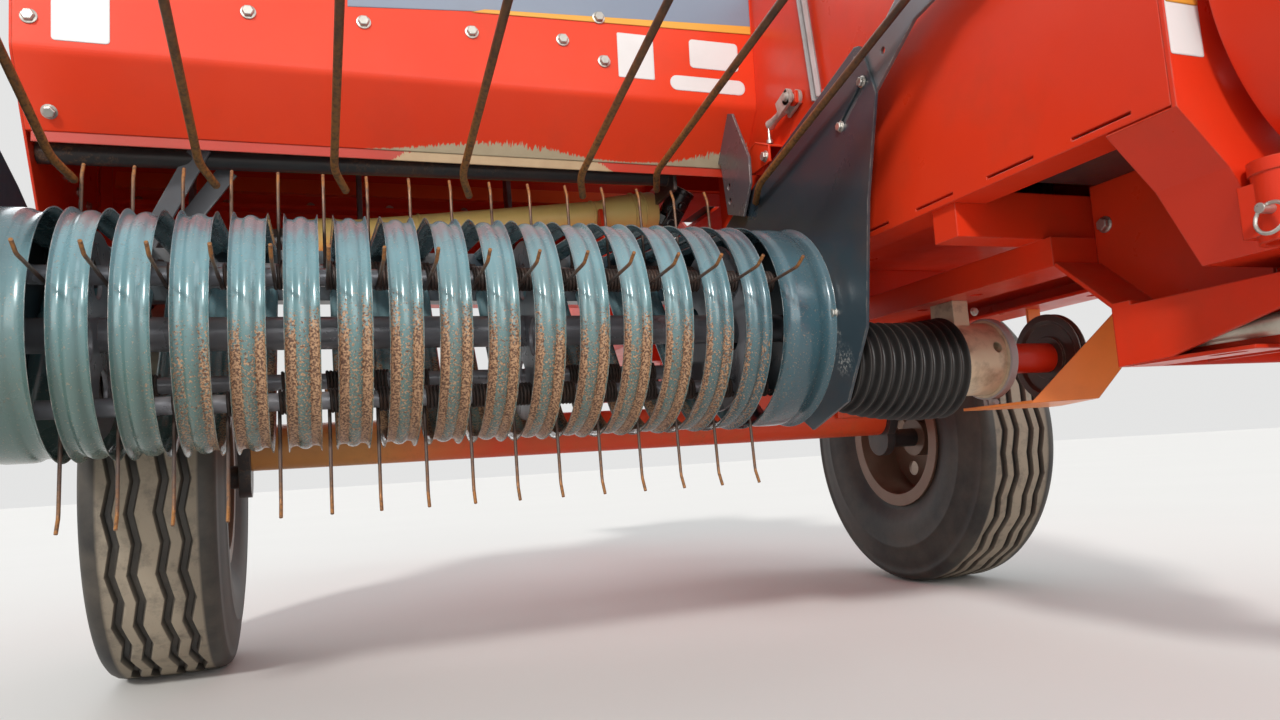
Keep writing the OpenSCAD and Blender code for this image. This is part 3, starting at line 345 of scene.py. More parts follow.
def paintSurface(tree, look):
    # Sheet metal paint: tone, grime, dust on upward faces, worn edges, rust, fine orange peel
    colour = blend(spread(noise(tree, 1.7, 5), 0.35, 0.65), look["colour"], look["tone"])
    if "low" in look:
        low = spread(placeOn(tree, "Z"), *look["low"]["heights"])
        colour = blend(low, colour, look["low"]["colour"])
    # A colour shift along X: on the bands it is painted shade towards their far end; on the axle it turns the
    # orange to red
    if "side" in look:
        side = spread(placeOn(tree, "X"), *look["side"]["reach"], 0.0, look["side"]["amount"])
        colour = blend(side, colour, look["side"]["colour"])
    grime = times(spread(noise(tree, look["grimeScale"], 8, 0.62), 0.5, 0.75), look["grime"])
    colour = blend(grime, colour, look["grimeColour"])
    upward = spread(axisOf(surfaceNormal(tree), "Z"), 0.1, 0.95)
    dust = times(times(upward, look["dust"]), spread(noise(tree, 13.0, 10, 0.68), 0.36, 0.72))
    colour = blend(dust, colour, look["dustColour"])
    gloss = look["gloss"]
    roughness = plus(spread(noise(tree, 14.0, 5), 0.3, 0.7, gloss, gloss + 0.14), times(dust, 0.45))
    edges, rounded = edgeMask(tree, look["round"], 0.16)
    worn = times(times(edges, spread(noise(tree, 60.0, 4), 0.42, 0.6)), look["wear"])
    colour = blend(worn, colour, look["wearColour"])
    rusts = []
    if "rust" in look:
        speckle = spread(noise(tree, 70.0, 8, 0.7), 0.50, 0.60)
        patches = spread(noise(tree, 3.1, 4, offset=4.0), 0.46, 0.66)
        tint = blend(spread(noise(tree, 420.0, 3), 0.4, 0.6), (0.11, 0.040, 0.016), (0.42, 0.23, 0.11))
        rusts.append((combine("MINIMUM", times(times(speckle, patches), look["rust"]), 1.0), tint))
    if "rustOn" in look:
        grain = spread(noise(tree, 340.0, 2, offset=2.0), 0.42, 0.58)
        rusts.append((bandRustMask(tree, look["rustOn"]),
                      blend(grain, (0.10, 0.042, 0.020), (0.46, 0.27, 0.145))))
    for rust, tint in rusts:
        colour = blend(rust, colour, tint)
        roughness = plus(roughness, times(rust, 0.4))
    if "wornStrip" in look:
        strip = look["wornStrip"]
        bare = blend(noise(tree, 40.0, 6), strip["colour"], strip["tone"])
        colour = blend(wornStripMask(tree, strip), colour, bare)
    for x, y, z, reach in look.get("scuffs", []):
        colour = blend(scuffMask(tree, (x, y, z), reach), colour, look["scuffColour"])
    return colour, roughness, noise(tree, 260.0, 2), look["bump"], rounded


def metalSurface(tree, look):
    # Bare or plated metal: two tones, rust, worn edges and a fine bump
    colour = blend(spread(noise(tree, 18.0, 7, 0.6), 0.35, 0.68), look["colour"], look["tone"])
    rust = times(spread(noise(tree, 45.0, 8, 0.68), 0.47, 0.6), look["rust"])
    colour = blend(rust, colour, look["rustColour"])
    if "tips" in look:
        patchy = spread(noise(tree, 160.0, 5, 0.6), 0.36, 0.56, 0.25, 1.0)
        colour = blend(times(attributeOf(tree, look["tips"]), patchy), colour, look["tipColour"])
    edges, rounded = edgeMask(tree, look["round"], 0.2)
    colour = blend(times(edges, look["wear"]), colour, look["wearColour"])
    gloss = look["gloss"]
    roughness = plus(spread(noise(tree, 30.0, 5), 0.3, 0.7, gloss, gloss + 0.2), times(rust, 0.35))
    return colour, roughness, noise(tree, 170.0, 4), look["bump"], rounded


def rubberSurface(tree, look):
    # Black rubber, dusty all over and caked where the mesh attribute says so
    colour = blend(spread(noise(tree, 12.0, 6), 0.35, 0.7), look["colour"], look["tone"])
    dust = times(spread(noise(tree, 7.0, 8, 0.65), 0.35, 0.7), look["dust"])
    caked = spread(noise(tree, 26.0, 8, 0.7), 0.24, 0.50, 0.35, 1.0)
    dust = combine("MAXIMUM", dust, times(attributeOf(tree, look["attribute"]), caked))
    colour = blend(dust, colour, look["dustColour"])
    return colour, plus(times(dust, 0.3), look["gloss"]), noise(tree, 220.0, 5), 0.2, None


def paint(name, look):
    return makeMaterial(name, {**usualPaint, **look}, paintSurface)


def metal(name, look):
    return makeMaterial(name, {**usualMetal, **look}, metalSurface)


def rubber(name, look):
    return makeMaterial(name, look, rubberSurface)


bandRust = {"heights": (0.605, 0.535), "left": (atX(-200), atX(-60)), "right": (atX(800), atX(500))}
hoodStrip = {"from": atX(100), "to": atX(860), "edge": 0.945, "behind": atY(-284), "tallest": 0.1,
             "soft": 0.002, "heights": (0.02, 0.08, 0.17, 0.23, 0.19, 0.09, 0.05, 0.09, 0.23, 0.44),
             "colour": (0.60, 0.50, 0.34), "tone": (0.46, 0.37, 0.24)}
lipStrip = {**hoodStrip, "from": atX(150), "to": atX(590), "edge": 0.925,
            "heights": (0.0, 0.3, 0.5, 0.5, 0.5, 0.5, 0.5, 0.3, 0.0),
            "colour": (0.50, 0.36, 0.20), "tone": (0.36, 0.24, 0.13)}

finishes = {
    # finish or slot: what it is made with, the material's name, and its look
    "red_paint": (paint, "glossRedPaint", {
        "colour": (0.80, 0.046, 0.011), "tone": (0.68, 0.034, 0.009), "gloss": 0.27, "dust": 0.26,
        "grime": 0.22, "wear": 0.35, "coat": 0.06, "shine": 0.3}),
    "orange_paint": (paint, "glossOrangePaint", {
        "colour": (0.88, 0.105, 0.016), "tone": (0.78, 0.075, 0.013), "gloss": 0.27, "dust": 0.4,
        "grime": 0.15, "wear": 0.4}),
    "band_blue": (paint, "bandBluePaint", {
        "colour": (0.225, 0.40, 0.45), "tone": (0.17, 0.32, 0.365), "gloss": 0.17, "dust": 0.2, "grime": 0.2,
        "grimeColour": (0.14, 0.14, 0.12), "wear": 1.0, "wearColour": (0.70, 0.62, 0.56), "round": 0.0012,
        "rustOn": bandRust, "low": {"colour": (0.095, 0.165, 0.15), "heights": (0.68, 0.50)},
        # Painted shade: the bands darken towards their far end along X
        "side": {"reach": (atX(500), atX(760)), "amount": 0.8, "colour": (0.026, 0.080, 0.115)},
        "metal": 0.10, "bump": 0.03, "coat": 0.4, "shine": 0.6}),
    "plate_blue": (paint, "plateBluePaint", {
        "colour": (0.024, 0.040, 0.055), "tone": (0.034, 0.052, 0.062), "gloss": 0.26, "dust": 0.3,
        "grime": 0.3, "wear": 0.8, "wearColour": (0.25, 0.22, 0.19), "bump": 0.04, "shine": 0.5,
        "scuffs": [(*at(822, -702, 499), 0.030), (*at(822, -809, 958), 0.016), (*at(822, -690, 540), 0.014)],
        "scuffColour": (0.33, 0.32, 0.30)}),
    "dark_steel": (paint, "darkPaint", {
        "colour": (0.035, 0.032, 0.034), "tone": (0.06, 0.053, 0.05), "gloss": 0.34, "wear": 0.7,
        "rust": 0.5}),
    "rim_paint": (paint, "rimBrownPaint", {
        "colour": (0.24, 0.15, 0.105), "tone": (0.15, 0.09, 0.065), "gloss": 0.30, "dust": 0.6, "grime": 0.5,
        "wear": 0.8, "wearColour": (0.40, 0.20, 0.14), "rust": 0.4, "metal": 0.2}),
    "yoke_black": (paint, "yokeBlackPaint", {
        "colour": (0.014, 0.014, 0.016), "tone": (0.026, 0.026, 0.028), "gloss": 0.20, "dust": 0.3,
        "grime": 0.2, "wear": 0.9, "wearColour": (0.45, 0.43, 0.40), "shine": 0.5, "coat": 0.4}),
    "tine_steel": (metal, "springWire", {
        "colour": (0.052, 0.037, 0.032), "tone": (0.095, 0.070, 0.062), "gloss": 0.36, "rust": 0.30,
        "rustColour": (0.16, 0.065, 0.028), "metal": 0.45, "wear": 0.25, "tips": "tip"}),
    "bare_steel": (metal, "wornSteel", {
        "colour": (0.26, 0.27, 0.28), "tone": (0.16, 0.16, 0.16), "gloss": 0.36, "rust": 0.35,
        "metal": 0.75}),
    "zinc": (metal, "zincPlate", {
        "colour": (0.58, 0.55, 0.47), "tone": (0.45, 0.42, 0.35), "gloss": 0.30, "rust": 0.15,
        "metal": 0.85}),
    "tyre": (rubber, "tyreRubber", {
        "colour": (0.012, 0.012, 0.013), "tone": (0.022, 0.021, 0.020), "gloss": 0.50, "dust": 0.20,
        "dustColour": (0.33, 0.275, 0.205), "attribute": "tread"}),
    "bellows_rubber": (rubber, "bellowsRubber", {
        "colour": (0.006, 0.006, 0.0065), "tone": (0.010, 0.010, 0.011), "gloss": 0.42, "dust": 0.08,
        "dustColour": (0.24, 0.20, 0.16), "attribute": "ridge"}),
    "guard_yellow": (paint, "guardYellow", {
        "colour": (0.92, 0.70, 0.24), "tone": (0.86, 0.61, 0.17), "gloss": 0.40, "dust": 0.3,
        "grimeColour": (0.26, 0.18, 0.08), "wear": 0.2, "coat": 0.0}),
    # Painted light: the rear wall's fold in a brighter orange than the wall's red
    "foldOrange": (paint, "foldOrangePaint", {
        "colour": (0.95, 0.13, 0.022), "tone": (0.90, 0.10, 0.018), "gloss": 0.3, "dust": 0.1, "grime": 0.1,
        "wear": 0.6, "coat": 0.06}),
    "barGrey": (paint, "barGreyPaint", {
        "colour": (0.27, 0.275, 0.30), "tone": (0.19, 0.20, 0.23), "gloss": 0.24, "dust": 0.4, "grime": 0.45,
        "wear": 0.4, "metal": 0.3, "grimeColour": (0.13, 0.10, 0.08), "shine": 0.5}),
    "guardRod": (metal, "guardRodPaint", {
        "colour": (0.050, 0.030, 0.022), "tone": (0.085, 0.050, 0.034), "gloss": 0.34, "rust": 0.35,
        "rustColour": (0.22, 0.09, 0.03), "metal": 0.3, "wear": 0.2, "tips": "tip"}),
    # Worn steel, painted near white and hardly metallic as a painted highlight on the bore's rim
    "rimSteel": (metal, "rimSteel", {
        "colour": (0.85, 0.82, 0.76), "tone": (0.70, 0.66, 0.58), "gloss": 0.30, "rust": 0.1, "metal": 0.1}),
    # Painted shade: the lip's red is a darker copy of the hood's; its strip is worn paint
    "hoodLip": (paint, "hoodLipPaint", {
        "colour": (0.50, 0.028, 0.008), "tone": (0.42, 0.024, 0.007), "gloss": 0.34, "dust": 0.2,
        "grime": 0.25, "wornStrip": lipStrip}),
    "zincBolt": (metal, "boltZinc", {
        "colour": (0.62, 0.60, 0.55), "tone": (0.50, 0.48, 0.44), "gloss": 0.26, "rust": 0.12,
        "metal": 0.9}),
    "hoodRed": (paint, "hoodRedPaint", {
        "colour": (0.84, 0.056, 0.013), "tone": (0.74, 0.042, 0.011), "gloss": 0.30, "dust": 0.24,
        "grime": 0.16, "wear": 0.3, "wornStrip": hoodStrip, "shine": 0.32, "coat": 0.06}),
    "axleOrange": (paint, "axleOrangePaint", {
        "colour": (0.66, 0.27, 0.060), "tone": (0.55, 0.25, 0.07), "gloss": 0.36,
        "grimeColour": (0.36, 0.17, 0.05), "rust": 0.35,
        "side": {"reach": (atX(120), atX(400)), "amount": 0.93, "colour": (0.78, 0.055, 0.014)}}),
    # The tray's orange is lighter than the orange paint: painted sunlight on a part that lies in shade
    "trayOrange": (paint, "trayOrangePaint", {
        "colour": (0.97, 0.30, 0.06), "tone": (0.94, 0.25, 0.05), "gloss": 0.34, "dust": 0.3,
        "grime": 0.22}),
    "hubCream": (paint, "hubCreamPaint", {
        "colour": (0.76, 0.65, 0.47), "tone": (0.64, 0.53, 0.37), "gloss": 0.30, "dust": 0.3, "grime": 0.7,
        "grimeScale": 24.0, "grimeColour": (0.10, 0.07, 0.045), "metal": 0.25}),
    "discBrown": (paint, "discBrownPaint", {
        "colour": (0.085, 0.062, 0.054), "tone": (0.055, 0.042, 0.038), "gloss": 0.40, "grime": 0.4,
        "wear": 0.8, "wearColour": (0.35, 0.30, 0.26), "rust": 0.4, "metal": 0.3}),
    "strapGrey": (paint, "strapGreyPaint", {
        "colour": (0.19, 0.195, 0.21), "tone": (0.14, 0.14, 0.15), "gloss": 0.28, "dust": 0.2, "wear": 0.9,
        "wearColour": (0.50, 0.47, 0.43), "metal": 0.35}),
    "bracketGrey": (paint, "bracketGreyPaint", {
        "colour": (0.135, 0.115, 0.125), "tone": (0.10, 0.088, 0.10), "gloss": 0.24, "dust": 0.2,
        "grime": 0.2, "wear": 1.0, "wearColour": (0.60, 0.55, 0.50), "metal": 0.2, "shine": 0.5}),
    "whiteLabel": (paint, "whiteLabel", {
        "colour": (0.82, 0.82, 0.80), "tone": (0.76, 0.76, 0.75), "gloss": 0.35, "dust": 0.1, "grime": 0.1,
        "wear": 0.0, "coat": 0.1}),
    "labelBlue": (paint, "bandBlueGrey", {
        "colour": (0.22, 0.27, 0.35), "tone": (0.26, 0.30, 0.37), "gloss": 0.3, "dust": 0.1, "grime": 0.1,
        "wear": 0.0, "coat": 0.2}),
    "labelAmber": (paint, "bandAmber", {
        "colour": (0.85, 0.42, 0.06), "tone": (0.80, 0.36, 0.05), "gloss": 0.3, "dust": 0.1, "grime": 0.1,
        "wear": 0.0, "coat": 0.2}),
    "linkGrey": (paint, "linkGreyPaint", {
        "colour": (0.52, 0.50, 0.50), "tone": (0.40, 0.38, 0.38), "gloss": 0.34, "dust": 0.2, "grime": 0.45,
        "wear": 0.4}),
    "forgedFork": (metal, "forgedFork", {
        "colour": (0.60, 0.56, 0.52), "tone": (0.46, 0.41, 0.36), "gloss": 0.36, "rust": 0.25,
        "metal": 0.35}),
}
materials = {finish: make(name, look) for finish, (make, name, look) in finishes.items()}

# Nodes whose finish differs from their slot's common one
ownFinish = {"feeder_hood": "hoodRed", "axle_tube": "axleOrange", "underside_tray": "trayOrange",
             "drive_hub": "hubCream", "drive_disc": "discBrown", "guard_arms": "strapGrey",
             "hood_bracket": "bracketGrey", "reel_shaft": "barGrey", "housing_front_panel": "red_paint",
             "feed_floor": "red_paint"}
print("materials made:", len(materials))

for row in frame["record"]["subparts"]:
    node = frame["nodes"][row["node"]]
    node.data.materials.clear()
    node.data.materials.append(materials[ownFinish.get(row["node"], row["material_slot"])])

# Wheels: tyres with zigzag ribs

tyreLook = {"segments": 220, "waves": 22, "wave": 0.0050, "grooveDepth": 0.012, "grooveHalf": 0.0076,
            "groovePlaces": (-0.0545, -0.0215, 0.0215, 0.0545), "lip": 0.0012, "lipDrop": 0.0015,
            "crown": 0.006, "treadEdge": 0.70,
            # Sidewall from bead to tread: radius, and share of the half width
            "sidewall": ((0.163, 0.70), (0.176, 0.755), (0.186, 0.775), (0.196, 0.80), (0.214, 0.905),
                         (0.236, 0.965), (0.262, 1.0), (0.284, 0.998), (0.286, 1.004), (0.290, 1.004),
                         (0.292, 0.996), (0.312, 0.982), (0.338, 0.935), (0.352, 0.91), (0.356, 0.925),
                         (0.362, 0.915), (0.369, 0.87), (0.374, 0.80), (0.3765, 0.70))}


def tyreProfile(radius, half):
    # Points across the tyre: place along the axle, radius, dust, and how much it follows the zigzag
    edge = tyreLook["treadEdge"] * half
    w, lip, drop, deep = (tyreLook[key] for key in ("grooveHalf", "lip", "lipDrop", "grooveDepth"))
    tread = []
    last = -edge
    for g in tyreLook["groovePlaces"]:
        tread += [(last + (g - w - last) * k / 3, 0.0, 1.0, 0) for k in (1, 2)]
        tread += [(g + x, depth, dust, 1) for x, depth, dust in (
            (-w - lip, 0.0, 1.0), (-w, drop, 0.4), (-w * 0.55, deep, 0.0),
            (w * 0.55, deep, 0.0), (w, drop, 0.4), (w + lip, 0.0, 1.0))]
        last = g + w
    tread += [(last + (edge - last) * k / 3, 0.0, 1.0, 0) for k in (1, 2)]
    side = tyreLook["sidewall"]
    return ([(-share * half, r, 0.0, 0) for r, share in side]
            + [(x, radius - tyreLook["crown"] * (x / half) ** 2 - depth,
                dust * max(0.0, 1.0 - abs(x) / half * 0.9) ** 0.35, waved) for x, depth, dust, waved in tread]
            + [(share * half, r, 0.0, 0) for r, share in reversed(side)])


def tyrePiece(name, node, body):
    low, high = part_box(node)
    centre = (low + high) / 2
    profile = tyreProfile((high.z - low.z) / 2, (high.x - low.x) / 2)
    bm = bmesh.new()
    treadLayer = bm.verts.layers.float.new("tread")
    rings = []
    for k in range(tyreLook["segments"]):
        a = 2 * math.pi * k / tyreLook["segments"]
        phase = (k * tyreLook["waves"] / tyreLook["segments"]) % 1.0
        zigzag = tyreLook["wave"] * (4 * abs(phase - 0.5) - 1)
        ring = []
        for x, r, dust, waved in profile:
            v = bm.verts.new(centre + Vector((x + zigzag * waved, r * math.cos(a), r * math.sin(a))))
            v[treadLayer] = dust
            ring.append(v)
        rings.append(ring)
    joinRings(bm, rings, closed=True)
    finishPiece(bm, name, "tyre", body=body, replaced=[node], sharp=50)


wheelLook = {"circle": 0.070, "count": 5, "size": 1.5, "web": 0.018, "stud": 0.006, "studLength": 0.022,
             "hubFace": 0.046, "valveCircle": 0.139, "valveAngle": 0.9}


def wheelFittings(name, node, body, outward):
    low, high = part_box(node)
    centre = (low + high) / 2
    side = Vector((outward, 0, 0))

    def around(a, r, out):
        # A place on the wheel by angle, radius and distance out from its middle
        return centre + side * out + Vector((0, r * math.cos(a), r * math.sin(a)))

    bm = bmesh.new()
    for k in range(wheelLook["count"]):
        place = around(2 * math.pi * (k + 0.5) / wheelLook["count"], wheelLook["circle"], wheelLook["web"])
        addBolt(bm, place, side, wheelLook["size"])
        addTube(bm, [place, place + side * wheelLook["studLength"]], wheelLook["stud"], 12)
    # Grease cap
    addLathe(bm, centre + side * wheelLook["hubFace"], side,
             [(-0.012, 0.030), (0.012, 0.030), (0.020, 0.027), (0.026, 0.018), (0.028, 0)], 28)
    # Valve
    valve = around(wheelLook["valveAngle"], wheelLook["valveCircle"], wheelLook["web"] + 0.010)
    addTube(bm, [valve, valve + side * 0.028 + Vector((0, -0.006, -0.006))], 0.0045, 10)
    finishPiece(bm, name, "zinc", "zincBolt", body)


for hand in ("left", "right"):
    tyrePiece("tyre%sRibbed" % hand.title(), "tyre_" + hand, "wheel_" + hand)
for hand, outward in (("left", 1), ("right", -1)):
    wheelFittings("wheelFittings" + hand.title(), "rim_" + hand, "wheel_" + hand, outward)
print("wheels made")

# Reel: bars with helical spring tines

jointPlace = {j["name"]: Vector(j["pos_m"]) for j in frame["record"]["behaviour"]["joints"] if "pos_m" in j}
tineLook = {"firstX": -300, "pitch": 67.6, "count": 16, "barCircle": 0.125, "barRadius": 0.013, "wire": 0.0026,
            "turns": 5, "length": 0.164, "lag": math.radians(26), "barTurn": math.radians(60),
            "stepsPerTurn": 14, "endLength": 0.024, "endTurn": math.radians(25), "clipShift": 0.034,
            # How rusty the wire is at its first points, from the tip
            "rusty": (1.0, 1.0, 0.8, 0.45, 0.05)}


def addSpringTine(bm, centre, out, back, tipLayer):
    # Straight tine with its bent end, and its coil around the bar
    wire, lag, perTurn = tineLook["wire"], tineLook["lag"], tineLook["stepsPerTurn"]
    coil = tineLook["barRadius"] + 0.0003 + wire

    def way(a):
        # 0 points outwards from the reel's axis, rising the way the tine trails
        return math.cos(a) * out + math.sin(a) * back

    start = math.pi / 2 + lag
    foot = centre + coil * way(start)
    tangent = way(start + math.pi / 2)
    straight = tineLook["length"] - tineLook["endLength"]
    bend = foot - tangent * straight
    endWay = way(lag - tineLook["endTurn"])
    points = [bend + endWay * tineLook["endLength"], bend + endWay * 0.006,
              bend - tangent * 0.0005 + endWay * 0.002, bend + tangent * 0.006,
              foot - tangent * straight * 0.62]
    for i in range(tineLook["turns"] * perTurn + 1):
        rise = Vector((2 * wire * 1.04 * i / perTurn, 0, 0))
        points.append(centre + rise + coil * way(start + 2 * math.pi * i / perTurn))
    for ring, rusty in zip(addTube(bm, points, wire, 8), tineLook["rusty"]):
        for v in ring:
            v[tipLayer] = rusty


def tineBarPieces(number):
    angle = tineLook["barTurn"] + math.pi / 2 * (number - 1)
    out = Vector((0, -math.sin(angle), math.cos(angle)))
    back = Vector((0, -math.cos(angle), -math.sin(angle)))
    node = "tine_bar_%d" % number
    low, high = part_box(node)
    centre = jointPlace["reel_turn"] + tineLook["barCircle"] * out
    bm = bmesh.new()
    addTube(bm, [(x, centre.y, centre.z) for x in (low.x, high.x)], tineLook["barRadius"], 24)
    finishPiece(bm, "tineBar%d" % number, "tine_steel", "barGrey", "reel", [node])
    bm = bmesh.new()
    tipLayer = bm.verts.layers.float.new("tip")
    for i in range(tineLook["count"]):
        place = Vector((atX(tineLook["firstX"] + i * tineLook["pitch"]), centre.y, centre.z))
        addSpringTine(bm, place, out, back, tipLayer)
        # Clip bolt beside the coil
        clip = place + Vector((tineLook["clipShift"], 0, 0)) + out * (tineLook["barRadius"] - 0.0005)
        addBolt(bm, clip, out, 0.7, washer=False)
    finishPiece(bm, "springTines%d" % number, "tine_steel", body="reel")


for number in range(1, 5):
    tineBarPieces(number)
print("spring tines made")

# Wind guard: bent rods

guardLook = {"bar": 0.014, "rod": 0.0062, "bendSteps": 7, "bendRadius": 0.022, "sideways": 20,
             "root": (-1100, 1004), "knee": (-502, 842), "tip": (-447, 824), "rustFrom": (-900, 0.35),
             # Each rod: its root and knee along X, and how much further back and higher its knee lies
             "rods": ((-336, -330, 0, 0), (-141, -138, 0, 0), (58, 54, 0, 0), (260, 254, 0, 0),
                      (470, 456, 0, 8), (636, 616, 45, 40), (800, 800, 0, 10))}


def windGuardPiece():
    low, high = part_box("wind_guard")
    axis = jointPlace["wind_guard_lift"]
    bm = bmesh.new()
    tipLayer = bm.verts.layers.float.new("tip")
    addTube(bm, [(x, axis.y, axis.z) for x in (low.x, high.x)], guardLook["bar"], 28)
    rustStart, rustLength = guardLook["rustFrom"]
    for rootX, kneeX, back, rise in guardLook["rods"]:
        # Each rod runs down to its knee, then turns level and sideways
        start = at(rootX, *guardLook["root"])
        knee, tip = (at(kneeX + shift, guardLook[key][0] + back, guardLook[key][1] + rise)
                     for key, shift in (("knee", 0), ("tip", guardLook["sideways"])))
        first = (knee - start).normalized()
        second = (tip - knee).normalized()
        a = knee - first * guardLook["bendRadius"]
        b = knee + second * guardLook["bendRadius"]
        points = [start.lerp(knee, t) for t in (0, 0.25, 0.5, 0.7, 0.85)] + [a]
        for k in range(1, guardLook["bendSteps"] + 1):
            t = k / (guardLook["bendSteps"] + 1)
            points.append(a * (1 - t) ** 2 + knee * 2 * t * (1 - t) + b * t ** 2)
        points += [tip - second * 0.003, tip]
        radii = [guardLook["rod"]] * (len(points) - 1) + [guardLook["rod"] * 0.7]
        for ring, place in zip(addTube(bm, points, radii, 12), points):
            for v in ring:
                v[tipLayer] = max(0.0, min(1.0, (place.y - atY(rustStart)) / rustLength))
        # Weld around the rod's root
        addLathe(bm, start + Vector((0, -0.002, 0)), first,
                 [(-0.006, 0), (-0.004, 0.0085), (0.004, 0.0095), (0.012, 0.0068)], 14)
    finishPiece(bm, "windGuardRods", "tine_steel", "guardRod", "wind_guard", ["wind_guard"])


windGuardPiece()
print("wind guard made")

# Stripper bands, pressed to a soft W across

bandLook = {"count": 15, "first": -266.2, "pitch": 67.6, "width": 0.046, "endWidth": 0.098, "ends": (-359, 773),
            "radius": 0.178, "thickness": 0.0022, "turn": 4, "axis": (-513, 581), "top": (-205, 784),
            "low": (-205, 700), "ribs": (0.17, 0.47),
            # Share of the width from the middle, and how far the sheet lies below its rims in millimetres
            "section": ((0.0, 4.0), (0.05, 4.2), (0.11, 5.0), (0.16, 6.4), (0.21, 8.2), (0.25, 9.0),
                        (0.32, 8.9), (0.39, 8.2), (0.43, 7.0), (0.457, 4.0), (0.487, 0.5), (0.5, 0.0)),
            "endSection": ((0.0, 3.0), (0.16, 3.1), (0.22, 4.0), (0.26, 6.2), (0.30, 7.6), (0.36, 8.0),
                           (0.42, 7.6), (0.455, 5.6), (0.475, 2.6), (0.492, 0.4), (0.5, 0.0))}


def bandPath():
    # Stations of the band's centre line as place and outward way in the side view
    r = bandLook["radius"]
    centre, top, low = (Vector((0, *at(0, *bandLook[key]).yz)) for key in ("axis", "top", "low"))
    touch = []
    for end, side in ((top, 1), (low, -1)):
        away = end - centre
        touch.append(math.atan2(away.z, away.y) + side * math.acos(r / away.length))
    first, last = touch[0], touch[1] + 2 * math.pi
    steps = round(math.degrees(last - first) / bandLook["turn"])
    angles = [first + (last - first) * k / steps for k in range(steps + 1)]
    ways = [Vector((0, math.cos(a), math.sin(a))) for a in angles]
    path = [(centre + way * r, way) for way in ways]
    # The lower run goes on a little past its end point
    foot = path[-1][0] + (low - path[-1][0]) * 1.02
    return [(top, ways[0])] + path + [(foot, ways[-1])]


def bandPiece():
    bm = bmesh.new()
    ribLayer = bm.verts.layers.float.new("rib")
    path = bandPath()
    bands = [(bandLook["first"] + i * bandLook["pitch"], bandLook["width"], bandLook["section"], 1)
             for i in range(bandLook["count"])]
    bands += [(x, bandLook["endWidth"], bandLook["endSection"], 0) for x in bandLook["ends"]]
    inner, outer = bandLook["ribs"]
    for middle, width, half, rusty in bands:
        across = [(-share, depth) for share, depth in reversed(half[1:])] + list(half)
        section = [(share, depth / 1000) for share, depth in across]
        section += [(share, depth / 1000 + bandLook["thickness"]) for share, depth in reversed(across)]
        rings = []
        for place, way in path:
            ring = []
            for share, depth in section:
                v = bm.verts.new(place - way * depth + Vector((atX(middle) + share * width, 0, 0)))
                v[ribLayer] = rusty if inner < abs(share) < outer else 0.0
                ring.append(v)
            rings.append(ring)
        joinRings(bm, rings, capped=True)
    finishPiece(bm, "pressedBands", "band_blue", replaced=["stripper_bands"], sharp=50)


bandPiece()
print("bands made")

# Drive shaft laid in the feed housing: guard tube with its bell, one yoke straight and one swung up

shaftLook = {"right": (-20, -100, 827), "left": (700, -110, 907), "tube": 0.033, "yokeFoot": (768, -124, 888),
             "yokeEnd": (800, -150, 952), "yoke": 0.027, "bore": 0.0185, "boreDepth": 0.050, "splines": 6,
             "bossWay": (0.35, -1, 0), "bossBack": 0.036}


def shaftGuardPiece(right, along, length):
    r = shaftLook["tube"]
    bm = bmesh.new()
    addLathe(bm, right, along, [
        (0, 0), (0, 0.037), (0.012, 0.041), (0.075, 0.040), (0.110, r), (length - 0.085, r),
        (length - 0.060, 0.040), (length + 0.034, 0.044), (length + 0.040, 0.042),
        (length + 0.040, 0.028), (length + 0.030, 0)])
    # Ring: place along the shaft, outer radius, half width at its foot and at its top
    for place, outer, foot, top in ((0.25, r + 0.002, 0.004, 0.002), (0.62, r + 0.002, 0.004, 0.002),
                                    (length - 0.012, 0.0455, 0.003, 0.002),
                                    (length + 0.012, 0.0455, 0.003, 0.002)):
        addLathe(bm, right + along * place, along,
                 [(-foot, r - 0.002), (-top, outer), (top, outer), (foot, r - 0.002)], closed=True)
    finishPiece(bm, "shaftGuard", "guard_yellow", replaced=["pto_shaft"])


